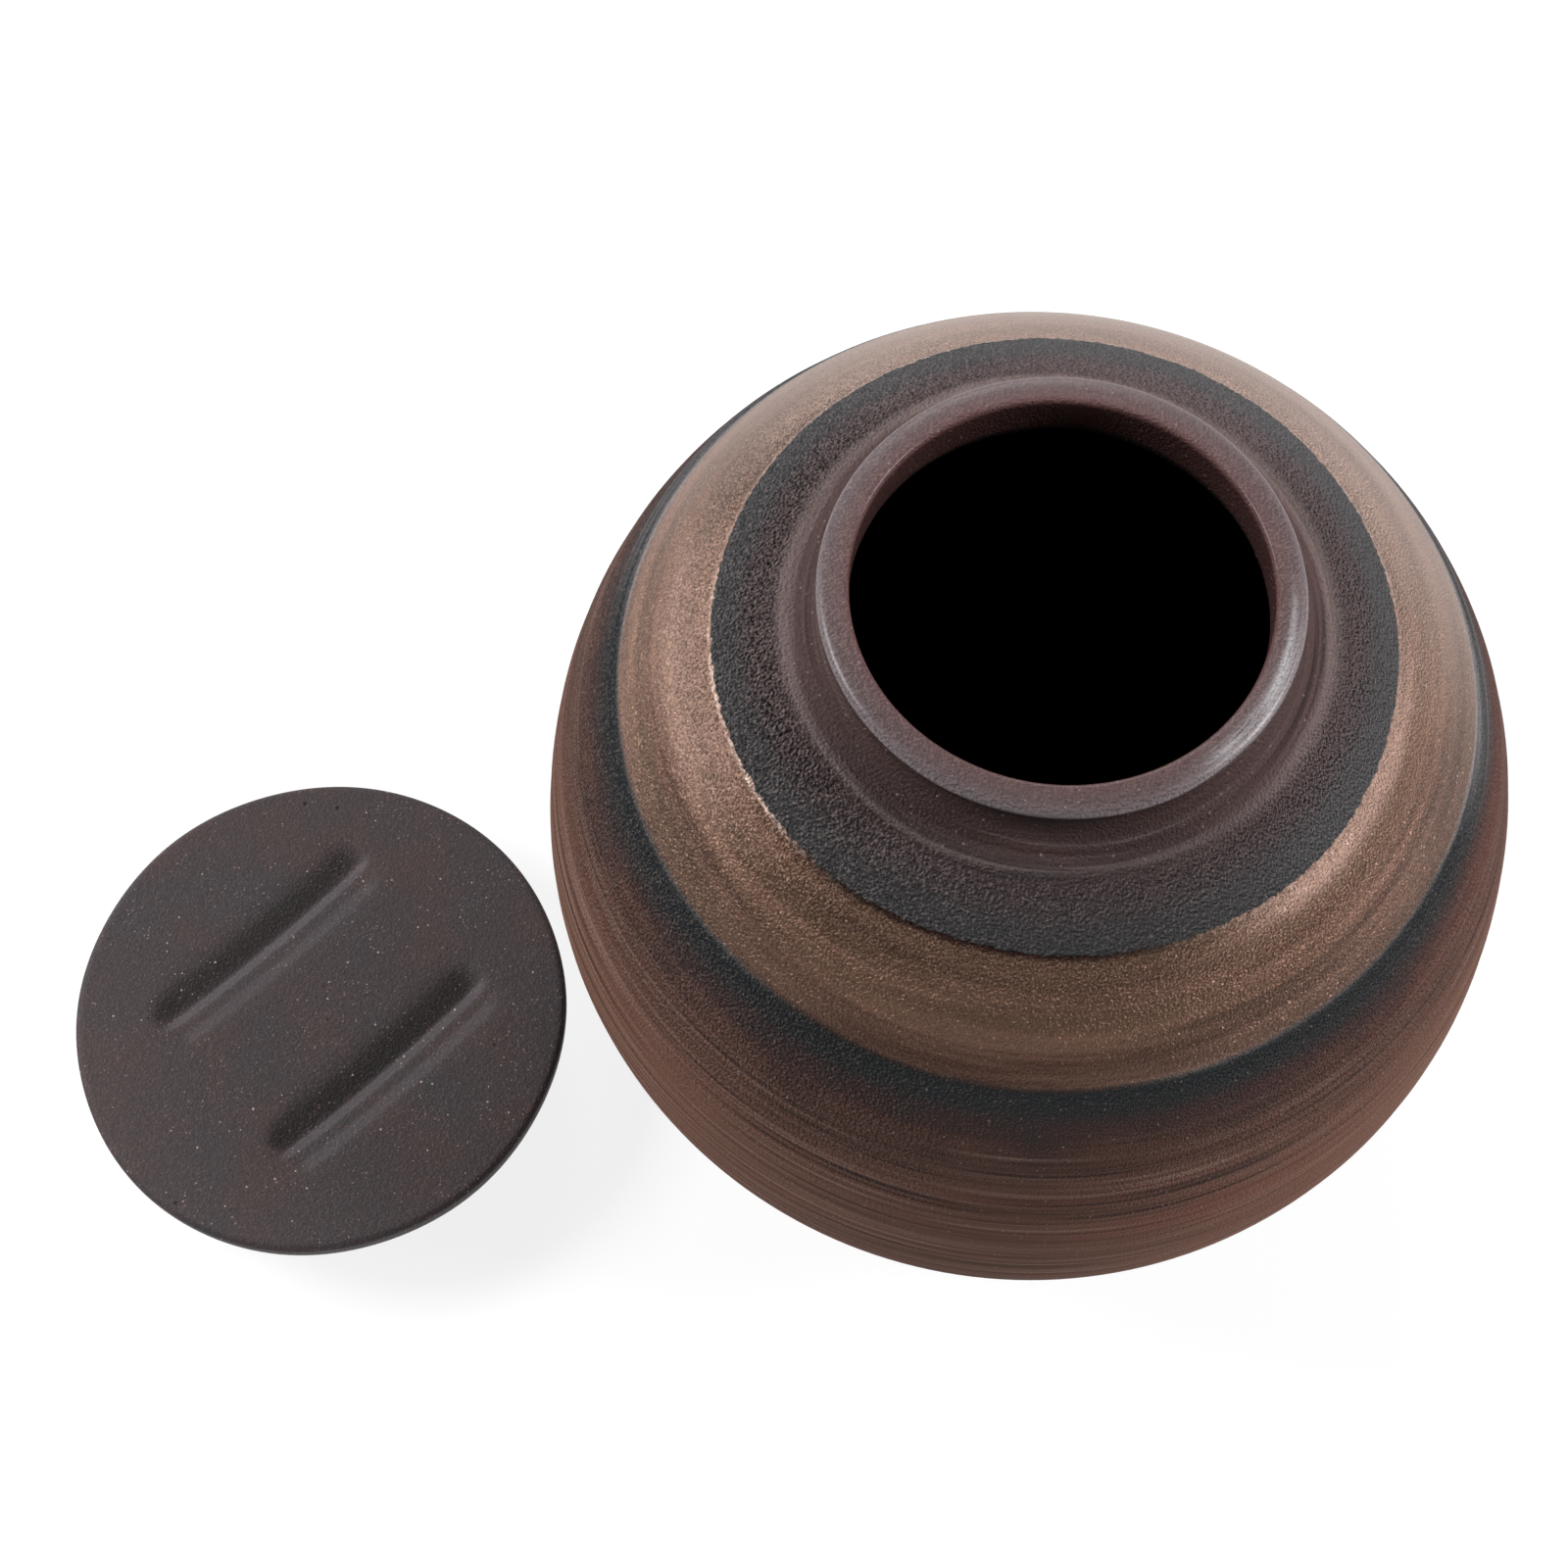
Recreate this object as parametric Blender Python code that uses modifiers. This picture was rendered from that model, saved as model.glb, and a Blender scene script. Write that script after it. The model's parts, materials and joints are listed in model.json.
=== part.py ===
"""Round stoneware storage jar with its lid lying beside it.

The jar is thrown with a short rolled neck, a wide shoulder and a belly that tapers to a
flat foot. The lid is a flat disc with two pressed finger grooves on top and a ring flange
underneath, and a ribbed silicone seal sits in a groove round the flange.
Units are metres, +Z is up, and the origin is the middle of the jar's foot on the table.
"""
import math

import bmesh
import bpy
from mathutils import Matrix, Vector

# Jar, outside: drops are measured down from the top of the lip, heights up from the table
JAR_HEIGHT = 0.1400
MOUTH_RADIUS = 0.0300
LIP_WIDTH = 0.0047
LIP_FLAT = 0.0020
LIP_INNER_EDGE = 0.0005
LIP_ROLL_DROP = 0.0019
NECK_WAIST_INSET = 0.0010
NECK_WAIST_DROP = 0.0048
NECK_FLARE = 0.0095
NECK_FOOT_DROP = 0.0099
NECK_FOOT_SLOPE = math.radians(12)
SHOULDER_SLOPE = math.radians(21)
SHOULDER_REACH = 0.0340
BELLY_RADIUS = 0.0774
BELLY_HEIGHT = 0.0596
BELLY_REACH_UP = 0.0200
BELLY_REACH_DOWN = 0.0255
FOOT_RADIUS = 0.0420
FOOT_SLOPE = math.radians(50)
FOOT_REACH = 0.0300
FOOT_EDGE = 0.0012

# Jar, inside
WALL = 0.0050
FLOOR_THICKNESS = 0.0060
FLOOR_FILLET = 0.0050
FLOOR_FILLET_RUN = 0.0080
BORE_DEPTH = 0.0075
CEILING_REACH = 0.0035

# Seal and the groove that it sits in
FIT_GAP = 0.0003
SEAL_GROOVE_DEPTH = 0.0014
SEAL_GROOVE_DROP = 0.0012
SEAL_SQUEEZE = 0.0004
SEAL_RIBS = 3
SEAL_PITCH = 0.0017
SEAL_RIB_ROOT = 0.0009
SEAL_RIB_TIP = 0.0004
SEAL_GROOVE_HEIGHT = SEAL_RIBS * SEAL_PITCH + 2 * FIT_GAP

# Lid
LID_OVERHANG = 0.0084
LID_THICKNESS = 0.0090
LID_EDGE = 0.0012
LID_TUCK_RUN = 0.0050
LID_TUCK_RISE = 0.0066
PLUG_CLEARANCE = 0.0014
PLUG_TOE = 0.0041
PLUG_EDGE = 0.0008
FLANGE_WIDTH = 0.0052
RECESS_FILLET = 0.0020
LID_RADIUS = MOUTH_RADIUS + LIP_WIDTH + LID_OVERHANG
PLUG_RADIUS = MOUTH_RADIUS - PLUG_CLEARANCE
PLUG_DEPTH = SEAL_GROOVE_DROP + SEAL_GROOVE_HEIGHT + PLUG_TOE
SEAL_GROOVE_RADIUS = PLUG_RADIUS - SEAL_GROOVE_DEPTH

# Finger grooves in the lid
GROOVE_LENGTH = 0.0500
GROOVE_WIDTH = 0.0052
GROOVE_DEPTH = 0.0026
GROOVE_SPACING = 0.0308
GROOVE_BEARING = math.radians(38.8)

# Where the lid lies: beside the belly, on its flange
LID_GAP = 0.0012
LID_BEARING = math.radians(190)
LID_TOP = PLUG_DEPTH + LID_THICKNESS
LID_DISTANCE = BELLY_RADIUS + LID_GAP + LID_RADIUS
LID_CENTRE = (LID_DISTANCE * math.cos(LID_BEARING), LID_DISTANCE * math.sin(LID_BEARING), 0.0)

# Facets round the axis, and steps along each kind of curve in a section
JAR_FACETS = 64
LID_FACETS = 56
GROOVE_FACETS = 20
GROOVE_RINGS = 14
SHOULDER_STEPS = 10
TAPER_STEPS = 8
ROLL_STEPS = 4
EDGE_STEPS = 2
FILLET_STEPS = 3
INSIDE_STEPS = 2
MERGE = 0.00001
SHARP = math.radians(35)

# Colour and roughness of each material
STONEWARE = ((0.062, 0.040, 0.034), 0.55)
LID_STONEWARE = ((0.055, 0.045, 0.043), 0.60)
SILICONE = ((0.72, 0.73, 0.70), 0.40)


def clear_scene():
    """Remove every object that the file holds."""
    for thing in list(bpy.data.objects):
        bpy.data.objects.remove(thing, do_unlink=True)


def collection(name):
    """A new collection under the scene's own."""
    group = bpy.data.collections.new(name)
    bpy.context.scene.collection.children.link(group)
    return group


def material(name, finish):
    """A plain Principled material of a colour and a roughness; clay and silicone aren't metal."""
    colour, roughness = finish
    made = bpy.data.materials.new(name)
    made.use_nodes = True
    shader = made.node_tree.nodes["Principled BSDF"]
    shader.inputs["Base Color"].default_value = (*colour, 1.0)
    shader.inputs["Roughness"].default_value = roughness
    shader.inputs["Metallic"].default_value = 0.0
    return made


def heading(angle, length):
    """A step of that length, outwards and down at the angle below level."""
    return Vector((math.cos(angle), -math.sin(angle))) * length


def curve(start, leave, end, arrive, steps):
    """Points after start on a cubic to end; leave and arrive are its tangents there."""
    start, leave, end, arrive = Vector(start), Vector(leave), Vector(end), Vector(arrive)
    first, second = start + leave, end - arrive
    points = []
    for i in range(1, steps + 1):
        t = i / steps
        s = 1 - t
        points.append(start * s**3 + first * 3 * s * s * t + second * 3 * s * t * t + end * t**3)
    return points


def inset(points, depth):
    """The same line moved square to itself towards the axis side."""
    moved = []
    for i, point in enumerate(points):
        along = points[min(i + 1, len(points) - 1)] - points[max(i - 1, 0)]
        along.normalize()
        moved.append(point + Vector((along.y, -along.x)) * depth)
    return moved


def belly_line():
    """The outside from the foot of the neck over the belly to the foot's edge."""
    neck_foot = Vector((MOUTH_RADIUS + NECK_FLARE, JAR_HEIGHT - NECK_FOOT_DROP))
    belly = Vector((BELLY_RADIUS, BELLY_HEIGHT))
    foot = Vector((FOOT_RADIUS, FOOT_EDGE))
    shoulder = curve(neck_foot, heading(SHOULDER_SLOPE, SHOULDER_REACH),
                     belly, (0, -BELLY_REACH_UP), SHOULDER_STEPS)
    taper = curve(belly, (0, -BELLY_REACH_DOWN),
                  foot, heading(math.pi - FOOT_SLOPE, FOOT_REACH), TAPER_STEPS)
    return [neck_foot] + shoulder + taper


def jar_outside(body):
    """The outside from the mouth's edge over the lip, neck and body to the foot's middle."""
    top = JAR_HEIGHT
    lip = MOUTH_RADIUS + LIP_WIDTH
    roll_pull = (0, -LIP_ROLL_DROP / 2)
    crown = Vector((MOUTH_RADIUS + LIP_INNER_EDGE, top))
    flat_end = crown + Vector((LIP_FLAT, 0))
    roll = Vector((lip, top - LIP_ROLL_DROP))
    waist = Vector((lip - NECK_WAIST_INSET, top - NECK_WAIST_DROP))
    line = [crown, flat_end]
    line += curve(flat_end, (lip - flat_end.x, 0), roll, roll_pull, ROLL_STEPS)
    line += curve(roll, roll_pull, waist, roll_pull, EDGE_STEPS)
    cove = (NECK_FOOT_DROP - NECK_WAIST_DROP) / 2
    line += curve(waist, (0, -cove), body[0], heading(NECK_FOOT_SLOPE, cove), ROLL_STEPS)
    line += body[1:]
    sole = Vector((body[-1].x - FOOT_EDGE, 0))
    line += curve(body[-1], (0, -FOOT_EDGE / 2), sole, (-FOOT_EDGE / 2, 0), EDGE_STEPS)
    return line + [Vector((0, 0))]


def jar_inside(body):
    """The inside from the mouth's edge down the bore and round the hollow to the floor.

    It isn't seen up close, so its wall takes one point for every INSIDE_STEPS of the outside.
    """
    top = JAR_HEIGHT
    edge = Vector((MOUTH_RADIUS, top - LIP_INNER_EDGE))
    bore_end = Vector((MOUTH_RADIUS, top - BORE_DEPTH))
    wall = inset(body[::INSIDE_STEPS], WALL)
    wall = [point for point in wall if point.y > FLOOR_THICKNESS + FLOOR_FILLET]
    ceiling = heading(SHOULDER_SLOPE, CEILING_REACH)
    line = [edge, bore_end]
    line += curve(bore_end, (0, -CEILING_REACH), wall[0], ceiling, ROLL_STEPS)
    line += wall[1:]
    down = (wall[-1] - wall[-2]).normalized() * FLOOR_FILLET
    floor = Vector((wall[-1].x - FLOOR_FILLET_RUN, FLOOR_THICKNESS))
    line += curve(wall[-1], down, floor, (-FLOOR_FILLET, 0), FILLET_STEPS)
    return line + [Vector((0, FLOOR_THICKNESS))]


def lid_line():
    """The lid from the middle of its top round the disc, plug and flange to the recess.

    The rim is widest just under its top edge and tucks in below, so fingers can lift it.
    """
    under = PLUG_DEPTH
    groove_top = under - SEAL_GROOVE_DROP
    groove_end = groove_top - SEAL_GROOVE_HEIGHT
    hollow = PLUG_RADIUS - FLANGE_WIDTH
    out, down = (LID_EDGE / 2, 0), (0, -LID_EDGE / 2)
    tuck_down, tuck_in = (0, -LID_TUCK_RISE / 2), (-LID_TUCK_RUN / 2, 0)
    line = [Vector((0, LID_TOP)), Vector((LID_RADIUS - LID_EDGE, LID_TOP))]
    line += curve(line[-1], out, (LID_RADIUS, LID_TOP - LID_EDGE), down, FILLET_STEPS)
    line.append(Vector((LID_RADIUS, under + LID_TUCK_RISE)))
    line += curve(line[-1], tuck_down, (LID_RADIUS - LID_TUCK_RUN, under), tuck_in, ROLL_STEPS)
    line.append(Vector((PLUG_RADIUS, under)))
    line.append(Vector((PLUG_RADIUS, groove_top)))
    line.append(Vector((SEAL_GROOVE_RADIUS, groove_top)))
    line.append(Vector((SEAL_GROOVE_RADIUS, groove_end)))
    line.append(Vector((PLUG_RADIUS, groove_end)))
    line.append(Vector((PLUG_RADIUS, PLUG_EDGE)))
    line.append(Vector((PLUG_RADIUS - PLUG_EDGE, 0)))
    line.append(Vector((hollow + PLUG_EDGE, 0)))
    line.append(Vector((hollow, PLUG_EDGE)))
    line.append(Vector((hollow, under - RECESS_FILLET)))
    half = RECESS_FILLET / 2
    line += curve(line[-1], (0, half), (hollow - RECESS_FILLET, under), (-half, 0), EDGE_STEPS)
    return line + [Vector((0, under))]


def seal_line():
    """The closed section of the seal: a flat band inside, fins outside."""
    top = PLUG_DEPTH - SEAL_GROOVE_DROP - FIT_GAP
    bottom = top - SEAL_RIBS * SEAL_PITCH
    inner = SEAL_GROOVE_RADIUS + FIT_GAP
    tip = MOUTH_RADIUS + SEAL_SQUEEZE
    line = [Vector((inner, top)), Vector((PLUG_RADIUS, top))]
    for rib in range(SEAL_RIBS):
        middle = top - SEAL_PITCH * (rib + 0.5)
        line.append(Vector((PLUG_RADIUS, middle + SEAL_RIB_ROOT / 2)))
        line.append(Vector((tip, middle + SEAL_RIB_TIP / 2)))
        line.append(Vector((tip, middle - SEAL_RIB_TIP / 2)))
        line.append(Vector((PLUG_RADIUS, middle - SEAL_RIB_ROOT / 2)))
    return line + [Vector((PLUG_RADIUS, bottom)), Vector((inner, bottom))]


def turned(name, line, closed, facets, group):
    """Turn a section, given as radius and height, round the upright axis."""
    mesh = bpy.data.meshes.new(name)
    edges = [(i, i + 1) for i in range(len(line) - 1)]
    if closed:
        edges.append((len(line) - 1, 0))
    mesh.from_pydata([(point.x, 0, point.y) for point in line], edges, [])
    thing = bpy.data.objects.new(name, mesh)
    group.objects.link(thing)
    screw = thing.modifiers.new("turn", "SCREW")
    screw.axis = "Z"
    screw.angle = math.tau
    screw.steps = facets
    screw.render_steps = facets
    screw.use_merge_vertices = True
    screw.merge_threshold = MERGE
    return thing


def settle(thing):
    """Give the thing its finished mesh, smooth but for its real edges."""
    ready = thing.evaluated_get(bpy.context.evaluated_depsgraph_get())
    mesh = bpy.data.meshes.new_from_object(ready)
    mesh.shade_smooth()
    mesh.set_sharp_from_angle(angle=SHARP)
    thing.modifiers.clear()
    thing.data = mesh


def finger_cutter(side, group):
    """A long pointed spindle, half sunk in the lid's top, for one finger groove."""
    mesh = bpy.data.meshes.new("finger_cutter")
    shape = bmesh.new()
    bmesh.ops.create_uvsphere(shape, u_segments=GROOVE_FACETS, v_segments=GROOVE_RINGS, radius=1.0)
    bmesh.ops.rotate(shape, verts=shape.verts, matrix=Matrix.Rotation(math.pi / 2, 3, "Y"))
    bmesh.ops.scale(shape, verts=shape.verts,
                    vec=(GROOVE_LENGTH / 2, GROOVE_WIDTH / 2, GROOVE_DEPTH))
    shape.to_mesh(mesh)
    shape.free()
    cutter = bpy.data.objects.new("finger_cutter", mesh)
    group.objects.link(cutter)
    across = Vector((-math.sin(GROOVE_BEARING), math.cos(GROOVE_BEARING), 0))
    cutter.location = Vector(LID_CENTRE) + across * side * GROOVE_SPACING / 2 + Vector((0, 0, LID_TOP))
    cutter.rotation_euler = (0, 0, GROOVE_BEARING)
    cutter.hide_render = True
    cutter.display_type = "WIRE"
    return cutter


def cut(thing, cutter):
    """Take the cutter's shape out of the thing."""
    boolean = thing.modifiers.new("cut", "BOOLEAN")
    boolean.operation = "DIFFERENCE"
    boolean.solver = "EXACT"
    boolean.object = cutter


def jar_body(group):
    """The thrown jar, one clay wall from lip to foot."""
    body = belly_line()
    line = list(reversed(jar_inside(body))) + jar_outside(body)
    jar = turned("jar_body", line, False, JAR_FACETS, group)
    jar.data.materials.append(material("stoneware", STONEWARE))
    return jar


def lid(group, cutters):
    """The pressed lid, lying on its flange, with the origin on its lifting axis."""
    thing = turned("lid", lid_line(), False, LID_FACETS, group)
    thing.location = LID_CENTRE
    for side in (-1, 1):
        cut(thing, finger_cutter(side, cutters))
    thing.data.materials.append(material("lid_stoneware", LID_STONEWARE))
    return thing


def lid_seal(carrier, group):
    """The ribbed ring in the flange's groove; it moves with the lid."""
    seal = turned("lid_seal", seal_line(), True, LID_FACETS, group)
    seal.parent = carrier
    seal.data.materials.append(material("silicone", SILICONE))
    return seal


def main():
    clear_scene()
    parts = collection("stoneware_canister")
    cutters = collection("cutters")
    jar = jar_body(parts)
    top = lid(parts, cutters)
    seal = lid_seal(top, parts)
    bpy.context.view_layer.update()
    for thing in (jar, top, seal):
        settle(thing)


main()
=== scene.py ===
# %% [markdown]
# # A round stoneware storage canister
# A potter threw this jar, gave it a short rolled neck and brushed a band of bronze slip round its
# shoulder. A flat pressed lid with two finger grooves lies beside it. Each solid of the measured
# model is replaced by a finer mesh of the same size, and every surface gets a material made of
# nodes.

import json
import math
from types import SimpleNamespace

import bmesh
import bpy
import numpy as np
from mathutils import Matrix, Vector, noise

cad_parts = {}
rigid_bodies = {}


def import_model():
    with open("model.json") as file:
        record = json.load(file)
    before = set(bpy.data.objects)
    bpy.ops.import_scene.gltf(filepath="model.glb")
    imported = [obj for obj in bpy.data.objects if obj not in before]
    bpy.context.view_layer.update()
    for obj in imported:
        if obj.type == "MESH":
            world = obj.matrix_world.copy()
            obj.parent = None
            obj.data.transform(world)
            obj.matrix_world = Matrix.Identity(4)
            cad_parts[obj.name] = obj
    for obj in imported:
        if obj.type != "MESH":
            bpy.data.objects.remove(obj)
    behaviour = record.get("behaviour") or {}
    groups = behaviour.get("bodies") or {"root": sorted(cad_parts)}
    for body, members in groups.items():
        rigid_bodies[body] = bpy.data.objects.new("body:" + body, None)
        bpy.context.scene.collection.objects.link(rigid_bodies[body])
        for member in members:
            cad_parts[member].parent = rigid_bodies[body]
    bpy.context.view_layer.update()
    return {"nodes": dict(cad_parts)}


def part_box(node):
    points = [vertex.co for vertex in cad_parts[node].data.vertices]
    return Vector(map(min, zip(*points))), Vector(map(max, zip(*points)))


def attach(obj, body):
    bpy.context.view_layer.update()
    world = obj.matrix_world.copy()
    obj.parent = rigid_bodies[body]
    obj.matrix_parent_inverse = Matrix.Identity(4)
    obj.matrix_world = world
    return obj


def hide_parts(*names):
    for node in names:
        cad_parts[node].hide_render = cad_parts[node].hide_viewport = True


for thing in list(bpy.data.objects):
    bpy.data.objects.remove(thing, do_unlink=True)
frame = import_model()
MM = 0.001
print("nodes:", ", ".join(sorted(frame["nodes"])))

# %% [markdown]
# ## Reading a turned section
# Jar, lid and seal are turned shapes, so a half section says all about their form. It is read
# from the measured solid, so no change of the model is missed: the vertices straight to the right
# of the axis, walked edge by edge, or over a flat face where no edge leads on. A merged copy is
# walked, because the solid itself is loose triangles.

# %% Walk along a section
IN_PLANE = 2e-6
LEVEL = 0.999


def flat_face(spot):
    """Every vertex of the level faces that the spot is part of."""
    seen, todo = set(), list(spot.link_faces)
    while todo:
        face = todo.pop()
        if face not in seen and abs(face.normal.z) > LEVEL:
            seen.add(face)
            todo.extend(other for edge in face.edges for other in edge.link_faces)
    return {v for face in seen for v in face.verts}


def walk(spot, left, centre):
    """Take vertices out of left, each beside the last, and return their places."""
    line = []
    while spot:
        left.discard(spot)
        line.append(((spot.co.x - centre.x) / MM, spot.co.z / MM))
        beside = {edge.other_vert(spot) for edge in spot.link_edges} & left
        ways = beside or flat_face(spot) & left
        spot = min(ways, key=lambda v: (v.co - spot.co).length, default=None)
    return line


def section(node, centre):
    """The node's half section as (radius, height) in mm, from its lower end."""
    solid = bmesh.new()
    solid.from_mesh(frame["nodes"][node].data)
    bmesh.ops.remove_doubles(solid, verts=solid.verts, dist=IN_PLANE)
    left = {v for v in solid.verts
            if abs(v.co.y - centre.y) < IN_PLANE and v.co.x - centre.x > -IN_PLANE}
    lowest = min(left, key=lambda v: (round(v.co.z / MM, 3), v.co.x))
    one_way = walk(lowest, left, centre)
    other_way = walk(lowest, left, centre)[1:]
    solid.free()
    line = other_way[::-1] + one_way
    return np.array(line if line[0][1] <= line[-1][1] else line[::-1])


jar_low, jar_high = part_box("jar_body")
lid_low, lid_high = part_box("lid")
jar_axis = (jar_low + jar_high) / 2
lid_axis = (lid_low + lid_high) / 2
JAR_TOP = jar_high.z / MM
jar_stations = section("jar_body", jar_axis)[::-1]
jar_stations = np.vstack([(0, jar_stations[0, 1]), jar_stations, (0, jar_stations[-1, 1])])
print("jar section:", len(jar_stations), "points, from", jar_stations[0], "to", jar_stations[-1])

# %% [markdown]
# ## A smooth line through few points
# The measured section has a point every few millimetres, and straight lines between them would
# show as flats. A centripetal Catmull-Rom curve passes through every point and doesn't swing out
# where a long run meets a short one, as at the foot.

# %% Lay a curve through points
def smooth_line(points, parts=24):
    """A curve through the points, with parts steps in each span."""
    ends = np.vstack([2 * points[0] - points[1], points, 2 * points[-1] - points[-2]])
    steps = np.sqrt(np.linalg.norm(np.diff(ends, axis=0), axis=1))
    made = [points[0]]
    for i in range(len(points) - 1):
        a, b, c, d = ends[i:i + 4]
        before, span, after = steps[i:i + 3]
        leave = (c - b) / span - (c - a) / (before + span) + (b - a) / before
        arrive = (d - c) / after - (d - b) / (span + after) + (c - b) / span
        for t in np.arange(1, parts + 1) / parts:
            start, finish = 2 * t**3 - 3 * t**2 + 1, 3 * t**2 - 2 * t**3
            pull = (t**3 - 2 * t**2 + t) * leave + (t**3 - t**2) * arrive
            made.append(start * b + finish * c + pull * span)
    return np.array(made)


def travelled(line):
    """The way gone along a line at each of its points."""
    return np.concatenate([[0.0], np.cumsum(np.linalg.norm(np.diff(line, axis=0), axis=1))])


MOUTH_EDGE = 0.4
jar_line = np.clip(smooth_line(jar_stations), 0.0, (np.inf, JAR_TOP))
crown = int(np.argmax(jar_line[:, 1] > JAR_TOP - MOUTH_EDGE))
jar_travel = travelled(jar_line)
jar_travel -= jar_travel[crown]
print("from the mouth:", round(-jar_travel[0], 1), "mm inside and", round(jar_travel[-1], 1), "outside")

# %% [markdown]
# ## Where the bands lie
# The bands lie at set distances from the axis, but the surface turns over at the belly. So the
# rest of the script places things by travel: how far a finger has slid from the mouth's edge over
# the lip and down the outside. The radii are of the step, the charcoal rim and the bronze's two
# edges.

# %% Turn radii into travel
BAND_RADII = (39.5, 45.5, 49.8, 64.4)
LIP_HEIGHT = 6
FOOT_EDGE = 1.0

outside = jar_travel > 0
belly = int(np.argmax(jar_line[:, 0]))
shoulder = outside & (np.arange(len(jar_line)) <= belly) & (jar_line[:, 1] < JAR_TOP - LIP_HEIGHT)


def travel_at(radius):
    """Travel at which the shoulder has reached a radius in mm."""
    return float(np.interp(radius, jar_line[shoulder, 0], jar_travel[shoulder]))


NECK_STEP, CHARCOAL, BRONZE_TOP, BRONZE_LOW = map(travel_at, BAND_RADII)
BELLY = float(jar_travel[belly])
FOOT = float(jar_travel[np.argmax(outside & (jar_line[:, 1] < FOOT_EDGE))])
print("travel in mm: step", round(NECK_STEP, 1), "bronze", round(BRONZE_TOP, 1), "to",
      round(BRONZE_LOW, 1), "belly", round(BELLY, 1), "foot", round(FOOT, 1))

# %% [markdown]
# ## How close the rings lie
# A thrown wall wants many rings where its lines are fine and few where nothing happens, so
# spacing is given zone by zone. That keeps the jar under two hundred thousand triangles.

# %% Cut the line into rings
def rings(zones, start):
    """Travel of every ring; zones are (travel at the zone's end, spacing in mm)."""
    marks = [start]
    for end, spacing in zones:
        count = max(1, round((end - marks[-1]) / spacing))
        marks.extend(np.linspace(marks[-1], end, count + 1)[1:])
    return np.array(marks)


JAR_ZONES = (
    (-40.0, 4.0), (-2.0, 2.0), (6.5, 0.35), (NECK_STEP + 2.0, 0.5), (BRONZE_TOP + 2.5, 0.5),
    (BRONZE_LOW - 1.0, 0.8), (BRONZE_LOW + 4.0, 0.4), (BELLY + 8.0, 0.52), (FOOT - 2.0, 1.2),
    (FOOT + 2.0, 0.35), (jar_travel[-1], 3.0))
jar_rings = rings(JAR_ZONES, jar_travel[0])
print("rings:", len(jar_rings))

# %% [markdown]
# ## Turning on the wheel
# The wheel is the spin operator. A vertex is extruded from ring to ring until it has drawn the
# half section, and the line is spun round the axis. Each vertex keeps its travel in an attribute,
# so shape and colour can both follow the surface.

# %% A wheel for all turned pieces
SAME_PLACE = 0.01


def mode(name):
    bpy.ops.object.mode_set(mode=name)


def mark(piece, name, numbers):
    """Keep a number for every vertex in an attribute of that name."""
    kept = piece.data.attributes.new(name, "FLOAT", "POINT")
    kept.data.foreach_set("value", np.array(numbers, np.float32))


def turned(name, line, travel, steps, axis, closed=False):
    """Spin a line of (radius, height) in mm round an axis; its travel stays on it."""
    bpy.ops.object.select_all(action="DESELECT")
    bpy.ops.mesh.primitive_plane_add(size=MM, location=(0, 0, 0))
    piece = bpy.context.object
    piece.name = piece.data.name = name
    mode("EDIT")
    bpy.ops.mesh.merge(type="CENTER")
    spots = [Vector((axis.x + radius * MM, axis.y, height * MM)) for radius, height in line]
    bpy.ops.transform.translate(value=spots[0])
    for here, there in zip(spots, spots[1:]):
        bpy.ops.mesh.extrude_vertices_move(TRANSFORM_OT_translate={"value": there - here})
    if closed:
        bpy.ops.mesh.select_all(action="SELECT")
        bpy.ops.mesh.edge_face_add()
        bpy.ops.mesh.delete(type="ONLY_FACE")
    mode("OBJECT")
    mark(piece, "travel", travel)
    mode("EDIT")
    bpy.ops.mesh.select_all(action="SELECT")
    bpy.ops.mesh.spin(steps=steps, angle=math.tau, center=(axis.x, axis.y, 0), axis=(0, 0, 1))
    bpy.ops.mesh.select_all(action="SELECT")
    bpy.ops.mesh.remove_doubles(threshold=SAME_PLACE * MM)
    bpy.ops.mesh.normals_make_consistent(inside=False)
    mode("OBJECT")
    bpy.ops.object.shade_smooth()
    return piece


def along(travel, line, wanted):
    """Points of the line at the wanted travel."""
    return np.column_stack([np.interp(wanted, travel, line[:, k]) for k in (0, 1)])


JAR_STEPS = 208
jar = turned("thrown_jar", along(jar_travel, jar_line, jar_rings), jar_rings, JAR_STEPS, jar_axis)
print("jar:", len(jar.data.vertices), "vertices,", len(jar.data.polygons), "faces")

# %% [markdown]
# ## Noise that meets itself
# Nothing that a hand has thrown is even, but it must close round the pot. What varies round the
# axis is a sum of whole waves, and what varies down the pot is a table of random steps, smoothed
# between them.

# %% Helpers for uneven clay
STEP_COUNT = 512


def ramp(x, start, end):
    """0 before start, 1 after end and smooth between."""
    t = np.clip((x - start) / (end - start), 0.0, 1.0)
    return t * t * (3 - 2 * t)


def hump(x, reach):
    """A smooth hump, 1 at the middle and gone at the reach on either side."""
    return np.clip(1 - (x / reach) ** 2, 0.0, 1.0) ** 2


def ridges(x, table):
    """Humps at set places; the table has (place, reach, height) for each."""
    return sum(height * hump(x - place, reach) for place, reach, height in table)


def wander(angle, height, seed, waves):
    """Whole waves round the axis, summed to about that height."""
    dice = np.random.default_rng(seed)
    made = sum(np.sin(n * angle + dice.uniform(0, math.tau)) / n**0.5 for n in waves)
    return height * (made / len(waves)**0.5)


def lines(x, height, pitch, seed):
    """Random steps up to that height, one for each pitch of x, smoothed."""
    steps = height * np.random.default_rng(seed).uniform(-1, 1, STEP_COUNT)
    whole = np.floor(x / pitch)
    share = ramp(x / pitch - whole, 0.0, 1.0)
    index = whole.astype(int)
    return steps[index % STEP_COUNT] * (1 - share) + steps[(index + 1) % STEP_COUNT] * share


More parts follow.
